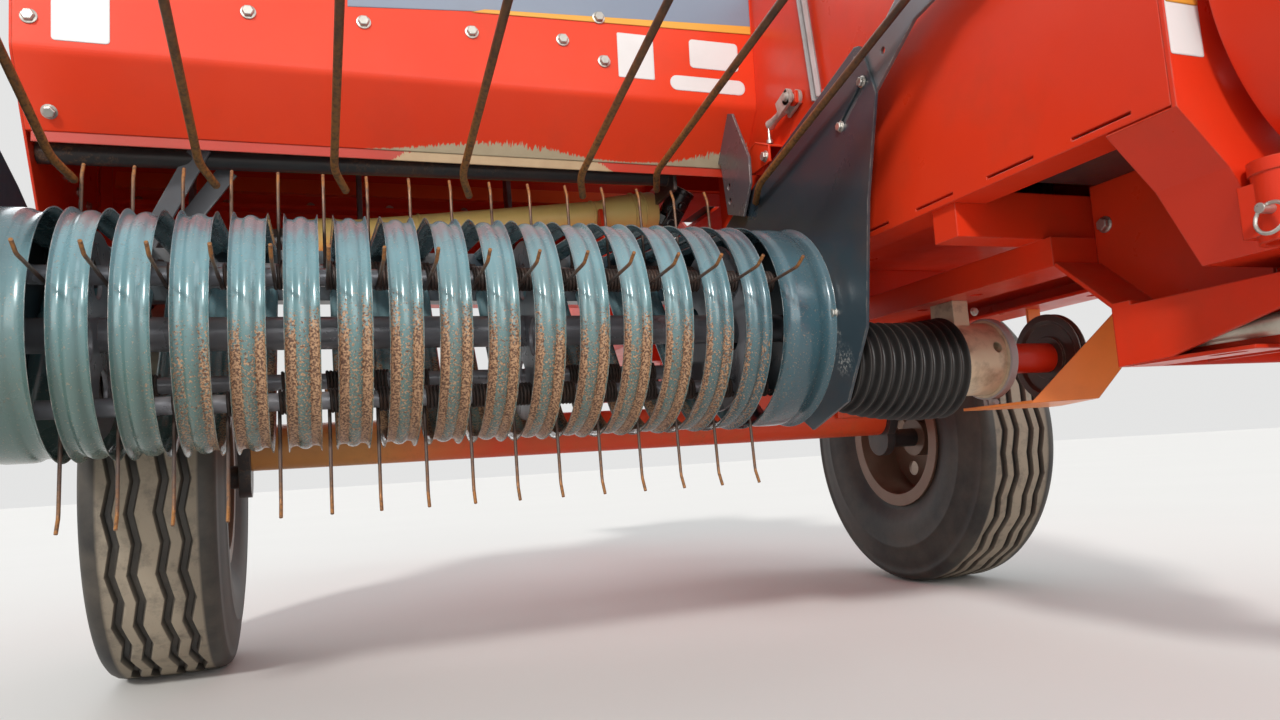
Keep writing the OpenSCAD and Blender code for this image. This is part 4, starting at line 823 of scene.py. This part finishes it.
def shaftPieces():
    right, left, foot, end = (at(*shaftLook[key]) for key in ("right", "left", "yokeFoot", "yokeEnd"))
    along = (left - right).normalized()
    shaftGuardPiece(right, along, (left - right).length)
    bm = bmesh.new()
    # Yoke at the right-hand end, in line with the shaft
    addLathe(bm, right, -along, [(-0.002, 0), (-0.002, 0.027), (0.052, 0.027), (0.055, 0.032), (0.088, 0.032),
                                 (0.090, 0.030), (0.090, 0.0175), (0.040, 0.0175), (0.040, 0)], 40)
    # Cross and arms between the guard and the swung yoke
    way = (end - foot).normalized()
    joint = foot - way * 0.004
    cross = way.cross(along).normalized()
    addTube(bm, [joint - cross * 0.030, joint + cross * 0.030], 0.010, 20)
    for side in (-0.024, 0.024):
        arm = [joint + cross * side - way * 0.014, foot + cross * side + way * 0.030]
        addStrap(bm, arm, 0.034, 0.009, cross)
    addStrap(bm, [left + along * 0.020, left.lerp(joint, 0.6) + along * 0.010, joint], 0.040, 0.022, way)
    # The yoke itself, hollow and splined, with a locking bolt boss
    body = (end - foot).length
    outer, bore, deep = shaftLook["yoke"], shaftLook["bore"], body - shaftLook["boreDepth"]
    addLathe(bm, foot, way, [(0.012, 0), (0.012, 0.022), (0.022, outer), (body - 0.012, outer),
                             (body - 0.010, outer + 0.0015), (body - 0.0012, outer + 0.0015),
                             (body - 0.0012, bore), (deep, bore), (deep, 0)])
    side = way.cross(Vector((0, 1, 0))).normalized()
    for out in circle(side, side.cross(way).normalized(), shaftLook["splines"]):
        wall = foot + out * (bore - 0.001)
        addStrap(bm, [wall + way * (body - 0.042), wall + way * (body - 0.003)], 0.008, 0.005, out)
    out = Vector(shaftLook["bossWay"])
    out = (out - way * way.dot(out)).normalized()
    boss = foot + way * (body - shaftLook["bossBack"]) + out * 0.024
    addLathe(bm, boss, out, [(-0.004, 0), (-0.004, 0.010), (0.008, 0.010), (0.010, 0.007), (0.010, 0)], 20)
    finishPiece(bm, "shaftYokes", "yoke_black", replaced=["pto_yokes"], bevel=0.0008)
    # Worn rim of the bore, painted near white as a painted highlight
    bm = bmesh.new()
    addLathe(bm, foot + way * body, way, [(-0.0016, bore), (0.0, bore + 0.001), (0.0004, outer - 0.001),
                                          (-0.0016, outer + 0.001)], closed=True)
    finishPiece(bm, "yokeRim", "yoke_black", "rimSteel")


shaftPieces()
print("drive shaft made")

# Underside tray: its floor is cut back behind the folded flap

trayLook = {"floorZ": (412, 417), "corner": (1122, -772), "flapTurn": math.radians(-40), "flap": 101,
            "topZ": 601, "flapTop": (190.9, 257.9), "thickness": 5, "strapX": (1305.5, 1335.5), "rearY": -590}


def trayPiece():
    x, y = trayLook["corner"]
    wayX, wayY = math.cos(trayLook["flapTurn"]), math.sin(trayLook["flapTurn"])
    z0, z1 = trayLook["floorZ"]
    s0, s1 = trayLook["strapX"]
    rear, topZ, flap, t = (trayLook[key] for key in ("rearY", "topZ", "flap", "thickness"))
    bm = bmesh.new()
    floor = ((x, y), (x + flap * wayX, y + flap * wayY), (s1, rear - 30), (s1, rear), (x + 15, rear))
    addSlab(bm, [at(px, py, z0) for px, py in floor], (0, 0, (z1 - z0) / 1000))
    side = ((0, z0), (flap, z0), (trayLook["flapTop"][1], topZ), (trayLook["flapTop"][0], topZ))
    addSlab(bm, [at(x + along * wayX, y + along * wayY, z) for along, z in side],
            (wayY * t / 1000, -wayX * t / 1000, 0))
    addBlock(bm, at(s0, rear - 5, z1 - 1), at(s1, rear, topZ))
    # The tray takes the lighter orange with painted sunlight
    finishPiece(bm, "foldedTray", "orange_paint", "trayOrange", replaced=["underside_tray"])


trayPiece()
print("tray made")

# Bellows over the pickup drive

bellowsLook = {"folds": 12, "outer": (0.077, 0.088), "depth": 0.012, "sag": 0.010, "drop": 0.012,
               "stepsPerFold": 16, "segments": 64, "narrow": 2.4}


def bellowsPiece():
    low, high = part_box("drive_bellows")
    middle = (low + high) / 2
    length = high.x - low.x
    folds, segments = bellowsLook["folds"], bellowsLook["segments"]
    total = folds * bellowsLook["stepsPerFold"]
    thin, wide = bellowsLook["outer"]
    lean = bellowsLook["drop"] / length * 2
    bm = bmesh.new()
    ridgeLayer = bm.verts.layers.float.new("ridge")
    rings = []
    for i in range(total + 1):
        t = i / total
        hump = 4 * t * (1 - t)
        # Wide troughs between narrow crests
        crest = (0.5 - 0.5 * math.cos(2 * math.pi * folds * t)) ** bellowsLook["narrow"]
        radius = thin * (1 - t) + wide * t - bellowsLook["depth"] * (1 - crest)
        sag = bellowsLook["sag"] * hump + bellowsLook["drop"] * t
        ring = []
        for k in range(segments):
            a = 2 * math.pi * k / segments
            x = low.x + length * t + radius * math.sin(a) * lean * hump
            v = bm.verts.new((x, middle.y + radius * math.cos(a), middle.z - sag + radius * math.sin(a)))
            v[ridgeLayer] = max(0.0, crest - 0.94) * 4.0
            ring.append(v)
        rings.append(ring)
    joinRings(bm, rings, capped=True)
    finishPiece(bm, "bellowsFolds", "bellows_rubber", replaced=["drive_bellows"], sharp=60)


bellowsPiece()
print("bellows made")

# Bolts that show on the sheets

# Front of the hood, from its fold to its top, as (y, z)
hoodFront = {"fold": (-390, 1052), "top": (-400, 1330)}


def hoodY(z):
    (y0, z0), (y1, z1) = hoodFront["fold"], hoodFront["top"]
    return y0 + (y1 - y0) * (z - z0) / (z1 - z0)


endPlateX = drawnX(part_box("feed_end_plate")[1].x)
plateX = drawnX(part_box("pickup_plate_left")[0].x)
boltRows = {
    # name: (normal, size, places in drawing millimetres)
    "hoodBolts": ((0, -1, 0.036), 1.0, [(x, hoodY(z), z) for x, z in (
        (-387, 1102), (-73, 1144), (112, 1147), (300, 1149), (470, 1152), (550, 1118), (543, 1203))]),
    "hoodLowBolts": ((0, -0.82, -0.57), 1.0, [(-372, -332, 973)]),
    "endPlateBolts": ((1, 0, 0), 0.8, [(endPlateX, y, z) for y, z in (
        (-185, 965), (-118, 960), (-46, 955), (30, 950), (110, 945))]),
    "rearWallBolts": ((0, -1, 0), 0.8, [(x, 257, 1004) for x in (-340, -160, 20, 200, 380, 560, 740)]),
    "plateBoltsLeft": ((-1, 0, 0), 0.75, [(plateX, y, z) for y, z in (
        (-750, 871), (-818, 917), (-685, 579), (-515, 727))]),
    "webBolt": ((-1, 0, 0), 1.0, [(1115, -965, 660)]),
    "hubBracketBolt": ((0, -1, 0), 0.6, [(1086, -704, 577)]),
}
for name, (normal, size, places) in boltRows.items():
    bm = bmesh.new()
    for place in places:
        addBolt(bm, at(*place), normal, size)
    finishPiece(bm, name, "zinc", "zincBolt")
print("bolts made")

# Straps behind the bands, lift linkage beside the hood, clamp and pins

strapLook = {"width": 0.034, "thickness": 0.005, "face": (0, -1, 0.2),
             # Each strap: its top, and where it meets the beam
             "ends": (((-157, -276, 948), (-262, -192)), ((-118, -224, 925), (-232, -180)))}


def strapPieces():
    bm = bmesh.new()
    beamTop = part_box("pickup_rear_beam")[1].z * 1000
    for top, foot in strapLook["ends"]:
        top, foot = at(*top), at(*foot, beamTop - 4)
        addStrap(bm, [top, foot], strapLook["width"], strapLook["thickness"], strapLook["face"])
        head = foot + (top - foot).normalized() * 0.02 + Vector((0, -0.0035, 0.001))
        addBolt(bm, head, (0, -1, 0.3), 0.8)
    finishPiece(bm, "liftStraps", "bare_steel", "strapGrey", bevel=0.0008)


forkLook = {"eye": (854, -467, 984), "shank": (854, -515, 991), "head": (854, -556, 1003),
            "radii": [0.0105, 0.0080, 0.0068, 0.0085, 0.0120]}


def forkPiece():
    # Forged fork end of the lift linkage, with its pin
    eye, shank, head = (at(*forkLook[key]) for key in ("eye", "shank", "head"))
    along = (head - shank).normalized()
    across = Vector((1, 0, 0))
    bm = bmesh.new()
    addTube(bm, [eye, eye.lerp(shank, 0.3), eye.lerp(shank, 0.7), shank, shank + along * 0.012],
            forkLook["radii"], 16)
    for side in (-across, across):
        cheek = side * 0.010
        addStrap(bm, [shank + along * 0.004 + cheek, head + along * 0.006 + cheek], 0.030, 0.006, across)
        addLathe(bm, head + cheek, side, [(-0.003, 0), (-0.003, 0.015), (0.003, 0.015), (0.003, 0)], 24)
    addLathe(bm, head - across * 0.019, across, [(0, 0), (0, 0.0075), (0.036, 0.0075), (0.036, 0)], 18)
    addBolt(bm, head - across * 0.013, -across, 0.7)
    finishPiece(bm, "liftFork", "zinc", "forgedFork", bevel=0.0012)


linkLook = {"rod": ((861, -634, 968), (861, -604, 1236)),
            # Pads on the panel: their outer side, then front and lower, rear and upper edges
            "pads": ((861, (-648, 958), (-612, 982)), (861, (-618, 1205), (-590, 1229)),
                     (854, (-566, 990), (-546, 1014))),
            "bracketX": 832, "bracket": ((-418, 900), (-418, 952), (-440, 958), (-492, 935), (-492, 903)),
            "bracketTop": ((-419, 951), (-440, 957), (-492, 934)), "nipple": (845, -476, 943)}


def linkagePieces():
    toRight = Vector((-1, 0, 0))
    panelX = drawnX(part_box("housing_right_panel")[0].x)
    forkPiece()
    # Channel-shaped rod that rises along the side panel
    bm = bmesh.new()
    low, high = (at(*p) for p in linkLook["rod"])
    addStrap(bm, [low, high], 0.018, 0.003, toRight)
    way = (high - low).normalized()
    width = way.cross(toRight).normalized()
    for side in (-0.0075, 0.0075):
        shift = width * side + toRight * 0.005
        addStrap(bm, [low + shift, high + shift], 0.010, 0.003, width)
    addBolt(bm, high - way * 0.016 + toRight * 0.0015, toRight)
    finishPiece(bm, "liftRod", "zinc", "linkGrey")
    # Pads that hold the rod and the fork on the panel
    bm = bmesh.new()
    for x, lowEdge, highEdge in linkLook["pads"]:
        addBlock(bm, at(x, *lowEdge), at(panelX + 1, *highEdge))
    finishPiece(bm, "liftPads", "red_paint", bevel=0.0015)
    # Folded bracket with its grease nipple
    bm = bmesh.new()
    x = linkLook["bracketX"]
    addSlab(bm, [at(x, y, z) for y, z in linkLook["bracket"]], (0.005, 0, 0))
    addStrap(bm, [at((x + panelX) / 2, y, z) for y, z in linkLook["bracketTop"]], (panelX - x) / 1000, 0.004,
             (0, 0, 1))
    addBlock(bm, at(x, -421, 900), at(panelX + 1, -417, 952))
    finishPiece(bm, "foldedBracket", "red_paint", bevel=0.001)
    bm = bmesh.new()
    addLathe(bm, at(*linkLook["nipple"]), (0, 0, 1), [(0, 0), (0, 0.0065), (0.007, 0.0065), (0.009, 0.0035),
                                                      (0.030, 0.0018), (0.031, 0)], 14)
    addBolt(bm, at(x, -478, 917), toRight, 0.9)
    finishPiece(bm, "greaseNipple", "zinc", "zincBolt")


stripLook = {"lip": ((-402, -313, 929), (862, -311, 950)), "cover": ((1040, 430, 1096), (1200, 600, 1099)),
             "foldX": (-384, 866), "fold": ((236, 1028), (255, 1068), (257, 1068), (257, 1028)),
             "pipe": ((-409, -250, 931), (722, -250, 945)), "pipeRadius": 0.0185,
             "hanger": ((719.5, -290, 906), (727.5, -180, 1326)), "cornerLeg": 0.025, "cornerSheet": 0.002}


def sheetStrips():
    # Lip under the hood's edge, painted a darker red than the hood as painted shade, with its worn beige strip
    bm = bmesh.new()
    addBlock(bm, *(at(*p) for p in stripLook["lip"]))
    finishPiece(bm, "hoodLip", "red_paint", "hoodLip")
    # Fold along the top of the rear wall, painted a brighter orange than the wall as painted light on its
    # upward face
    bm = bmesh.new()
    x0, x1 = stripLook["foldX"]
    addSlab(bm, [at(x0, y, z) for y, z in stripLook["fold"]], ((x1 - x0) / 1000, 0, 0))
    finishPiece(bm, "rearWallFold", "red_paint", "foldOrange")
    # Dark sheet over the case roof, under the knotters: painted shade that darkens the gap above the roof
    bm = bmesh.new()
    addBlock(bm, *(at(*p) for p in stripLook["cover"]))
    finishPiece(bm, "roofShadeSheet", "dark_steel")
    # Pipe under the hood with its hanger
    bm = bmesh.new()
    addTube(bm, [at(*p) for p in stripLook["pipe"]], stripLook["pipeRadius"], 32)
    addBlock(bm, *(at(*p) for p in stripLook["hanger"]))
    finishPiece(bm, "feederPipe", "dark_steel", replaced=["feeder_pipe"], bevel=0.0015)
    # Angle in the corner between the end plate and the rear wall
    bm = bmesh.new()
    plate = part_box("feed_end_plate")[1].x
    low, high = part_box("feed_rear_wall")
    leg, sheet = stripLook["cornerLeg"], stripLook["cornerSheet"]
    corners = ((0, 0), (0, leg), (sheet, leg), (sheet, sheet), (leg, sheet), (leg, 0))
    addSlab(bm, [(plate + x, low.y - y, low.z + 0.003) for x, y in corners], (0, 0, high.z - low.z - 0.006))
    finishPiece(bm, "cornerAngle", "red_paint")


clampLook = {"place": (1140, -650, 500), "inner": 0.0675, "outer": 0.0725, "width": 0.015}
pinLook = {"height": 0.572, "reach": (-0.047, 0.040), "radius": 0.0055, "ring": 0.016, "wire": 0.0022}


def hubFittings():
    # Clamp ring at the hub's end with its bolt
    place = at(*clampLook["place"])
    inner, outer, width = clampLook["inner"], clampLook["outer"], clampLook["width"]
    bm = bmesh.new()
    addLathe(bm, place, (1, 0, 0), [(0, inner), (0, outer - 0.001), (0.0015, outer), (width - 0.0015, outer),
                                    (width, outer - 0.001), (width, inner)], 72, closed=True)
    for y in (-0.010, 0.003):
        addBlock(bm, place + Vector((0.001, y, -0.084)), place + Vector((0.014, y + 0.007, -0.069)))
    addBolt(bm, place + Vector((0.0075, -0.010, -0.078)), (0, -1, 0), 0.65)
    finishPiece(bm, "hubClamp", "zinc", "linkGrey", bevel=0.0008)
    # Pin of the stand socket with its ring
    low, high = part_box("stand_socket")
    centre = Vector(((low.x + high.x) / 2, low.y, pinLook["height"]))
    bm = bmesh.new()
    addTube(bm, [centre + Vector((x, 0.030, 0)) for x in pinLook["reach"]], pinLook["radius"], 14)
    r = pinLook["ring"]
    middle = centre + Vector((-0.044, 0.022, -0.012))
    ring = [middle + way for way in circle(Vector((0, r, 0)), Vector((0.004, 0, r)), 28)]
    addTube(bm, ring, pinLook["wire"], 8, closed=True)
    finishPiece(bm, "socketPin", "zinc", "zincBolt")


strapPieces()
linkagePieces()
sheetStrips()
hubFittings()
print("small parts made")

# Blank labels and the striped band on the hood

labelThickness = 0.0006


def roundedOutline(x0, z0, x1, z1, radius, steps=5):
    points = []
    for cx, cz, turn in ((x1 - radius, z1 - radius, 0), (x0 + radius, z1 - radius, 1),
                         (x0 + radius, z0 + radius, 2), (x1 - radius, z0 + radius, 3)):
        for k in range(steps + 1):
            a = math.pi / 2 * (turn + k / steps)
            points.append((cx + radius * math.cos(a), cz + radius * math.sin(a)))
    return points


frontY = 1000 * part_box("housing_front_panel")[0].y - datum["y"]
labels = {
    # name: (finish, outline in drawing millimetres, how far it stands off, the hood's front or none)
    "hoodLabelRight": ("whiteLabel", roundedOutline(-357, 1067, -276, 1175, 6), 0.1, hoodY),
    "hoodLabelTall": ("whiteLabel", roundedOutline(578, 1090, 652, 1178, 3), 0.1, hoodY),
    "hoodLabelSmall": ("whiteLabel", roundedOutline(728, 1122, 834, 1180, 8), 0.1, hoodY),
    "hoodLabelOval": ("whiteLabel", roundedOutline(684, 1074, 846, 1104, 14.5), 0.1, hoodY),
    "hoodBandBlue": ("labelBlue", [(866, 1300), (86, 1300), (86, 1172), (325, 1190), (866, 1216)], 0.1, hoodY),
    "hoodBandAmber": ("labelAmber", [(866, 1220), (325, 1194), (300, 1186), (866, 1203)], 0.9, hoodY),
    "frontLabel": ("whiteLabel", roundedOutline(872, 748, 920, 852, 3), 0.0, None),
    "frontLabelHeader": ("labelAmber", roundedOutline(872, 806, 920, 849, 3), 0.7, None),
}
for name, (finish, outline, lift, sheetY) in labels.items():
    bm = bmesh.new()
    addSlab(bm, [at(x, (sheetY(z) if sheetY else frontY) - lift, z) for x, z in outline],
            (0, -labelThickness, 0))
    finishPiece(bm, name, "red_paint", finish)
print("labels made")

# Camera, at the photograph's place

cameraLook = {"lens": 25.43, "sensor": 36, "place": (-0.6095, -1.3885, 0.356), "yaw": 0.3498, "pitch": 0.1126,
              "roll": -0.063}


def placeCamera():
    data = bpy.data.cameras.new("photoCamera")
    data.lens = cameraLook["lens"]
    data.sensor_width = cameraLook["sensor"]
    camera = bpy.data.objects.new("photoCamera", data)
    bpy.context.scene.collection.objects.link(camera)
    yaw, pitch, roll = cameraLook["yaw"], cameraLook["pitch"], cameraLook["roll"]
    ahead = Vector((math.sin(yaw) * math.cos(pitch), math.cos(yaw) * math.cos(pitch), math.sin(pitch)))
    level = Vector((math.cos(yaw), -math.sin(yaw), 0))
    upright = level.cross(ahead)
    right = math.cos(roll) * level + math.sin(roll) * upright
    up = -math.sin(roll) * level + math.cos(roll) * upright
    turned = Matrix((right, up, -ahead)).transposed().to_4x4()
    camera.matrix_world = Matrix.Translation(cameraLook["place"]) @ turned
    bpy.context.scene.camera = camera


placeCamera()

# Floor, lamps and background

stageLook = {"floorSize": 60, "floorSeen": (0.80, 0.785, 0.76), "floorBounce": (0.72, 0.70, 0.67),
             "background": (0.78, 0.78, 0.775), "worldLight": 0.56, "worldColour": (0.94, 0.97, 1.0)}


def lightPath(tree, ray):
    return addNode(tree, "ShaderNodeLightPath").outputs[ray]


def makeFloor():
    size = stageLook["floorSize"]
    mesh = bpy.data.meshes.new("floor")
    corners = [(-size, -size, 0), (size, -size, 0), (size, size, 0), (-size, size, 0)]
    mesh.from_pydata(corners, [], [(0, 1, 2, 3)])
    floor = bpy.data.objects.new("floor", mesh)
    bpy.context.scene.collection.objects.link(floor)
    material = bpy.data.materials.new("paleFloor")
    material.use_nodes = True
    tree = material.node_tree
    tree.nodes.clear()
    seen = blend(noise(tree, 0.8, 6), stageLook["floorSeen"], tuple(0.96 * c for c in stageLook["floorSeen"]))
    colour = blend(lightPath(tree, "Is Camera Ray"), stageLook["floorBounce"], seen)
    shader = addNode(tree, "ShaderNodeBsdfPrincipled", {"Base Color": colour, "Roughness": 0.9,
                                                        "Specular IOR Level": 0.1})
    addNode(tree, "ShaderNodeOutputMaterial", {0: shader.outputs[0]})
    mesh.materials.append(material)


def makeWorld():
    world = bpy.data.worlds.new("studio")
    bpy.context.scene.world = world
    world.use_nodes = True
    tree = world.node_tree
    tree.nodes.clear()
    # The camera, reflections and glass see the pale background; all else is lit by the world's light
    seen = combine("ADD", lightPath(tree, "Is Camera Ray"), lightPath(tree, "Is Glossy Ray"), True)
    seen = combine("ADD", seen, lightPath(tree, "Is Transmission Ray"), True)
    light, backdrop = (addNode(tree, "ShaderNodeBackground", {0: colour, 1: strength}).outputs[0]
                       for colour, strength in ((stageLook["worldColour"], stageLook["worldLight"]),
                                                (stageLook["background"], 1.0)))
    mix = addNode(tree, "ShaderNodeMixShader", {0: seen, 1: light, 2: backdrop})
    addNode(tree, "ShaderNodeOutputWorld", {0: mix.outputs[0]})


lamps = {
    # name: the way it comes from, strength, how soft in degrees, colour
    "keyLight": ((-0.50, -0.86, 0.56), 2.0, 7, (1.0, 0.98, 0.95)),
    "frontFill": ((0.05, -1.0, 0.04), 1.15, 50, (1.0, 0.99, 0.97)),
    "sideLight": ((0.95, -0.35, 0.55), 0.7, 40, (0.95, 0.97, 1.0)),
    "rearLight": ((-0.25, 0.95, 0.65), 0.8, 40, (0.97, 0.98, 1.0)),
}


def makeLamps():
    for name, (way, strength, softness, colour) in lamps.items():
        data = bpy.data.lights.new(name, "SUN")
        data.energy = strength
        data.angle = math.radians(softness)
        data.color = colour
        lamp = bpy.data.objects.new(name, data)
        lamp.location = Vector(way) * 5
        lamp.rotation_euler = (-Vector(way)).to_track_quat("-Z", "Y").to_euler()
        bpy.context.scene.collection.objects.link(lamp)


makeFloor()
makeWorld()
makeLamps()
bpy.context.scene.view_settings.view_transform = "Standard"
print("stage ready")
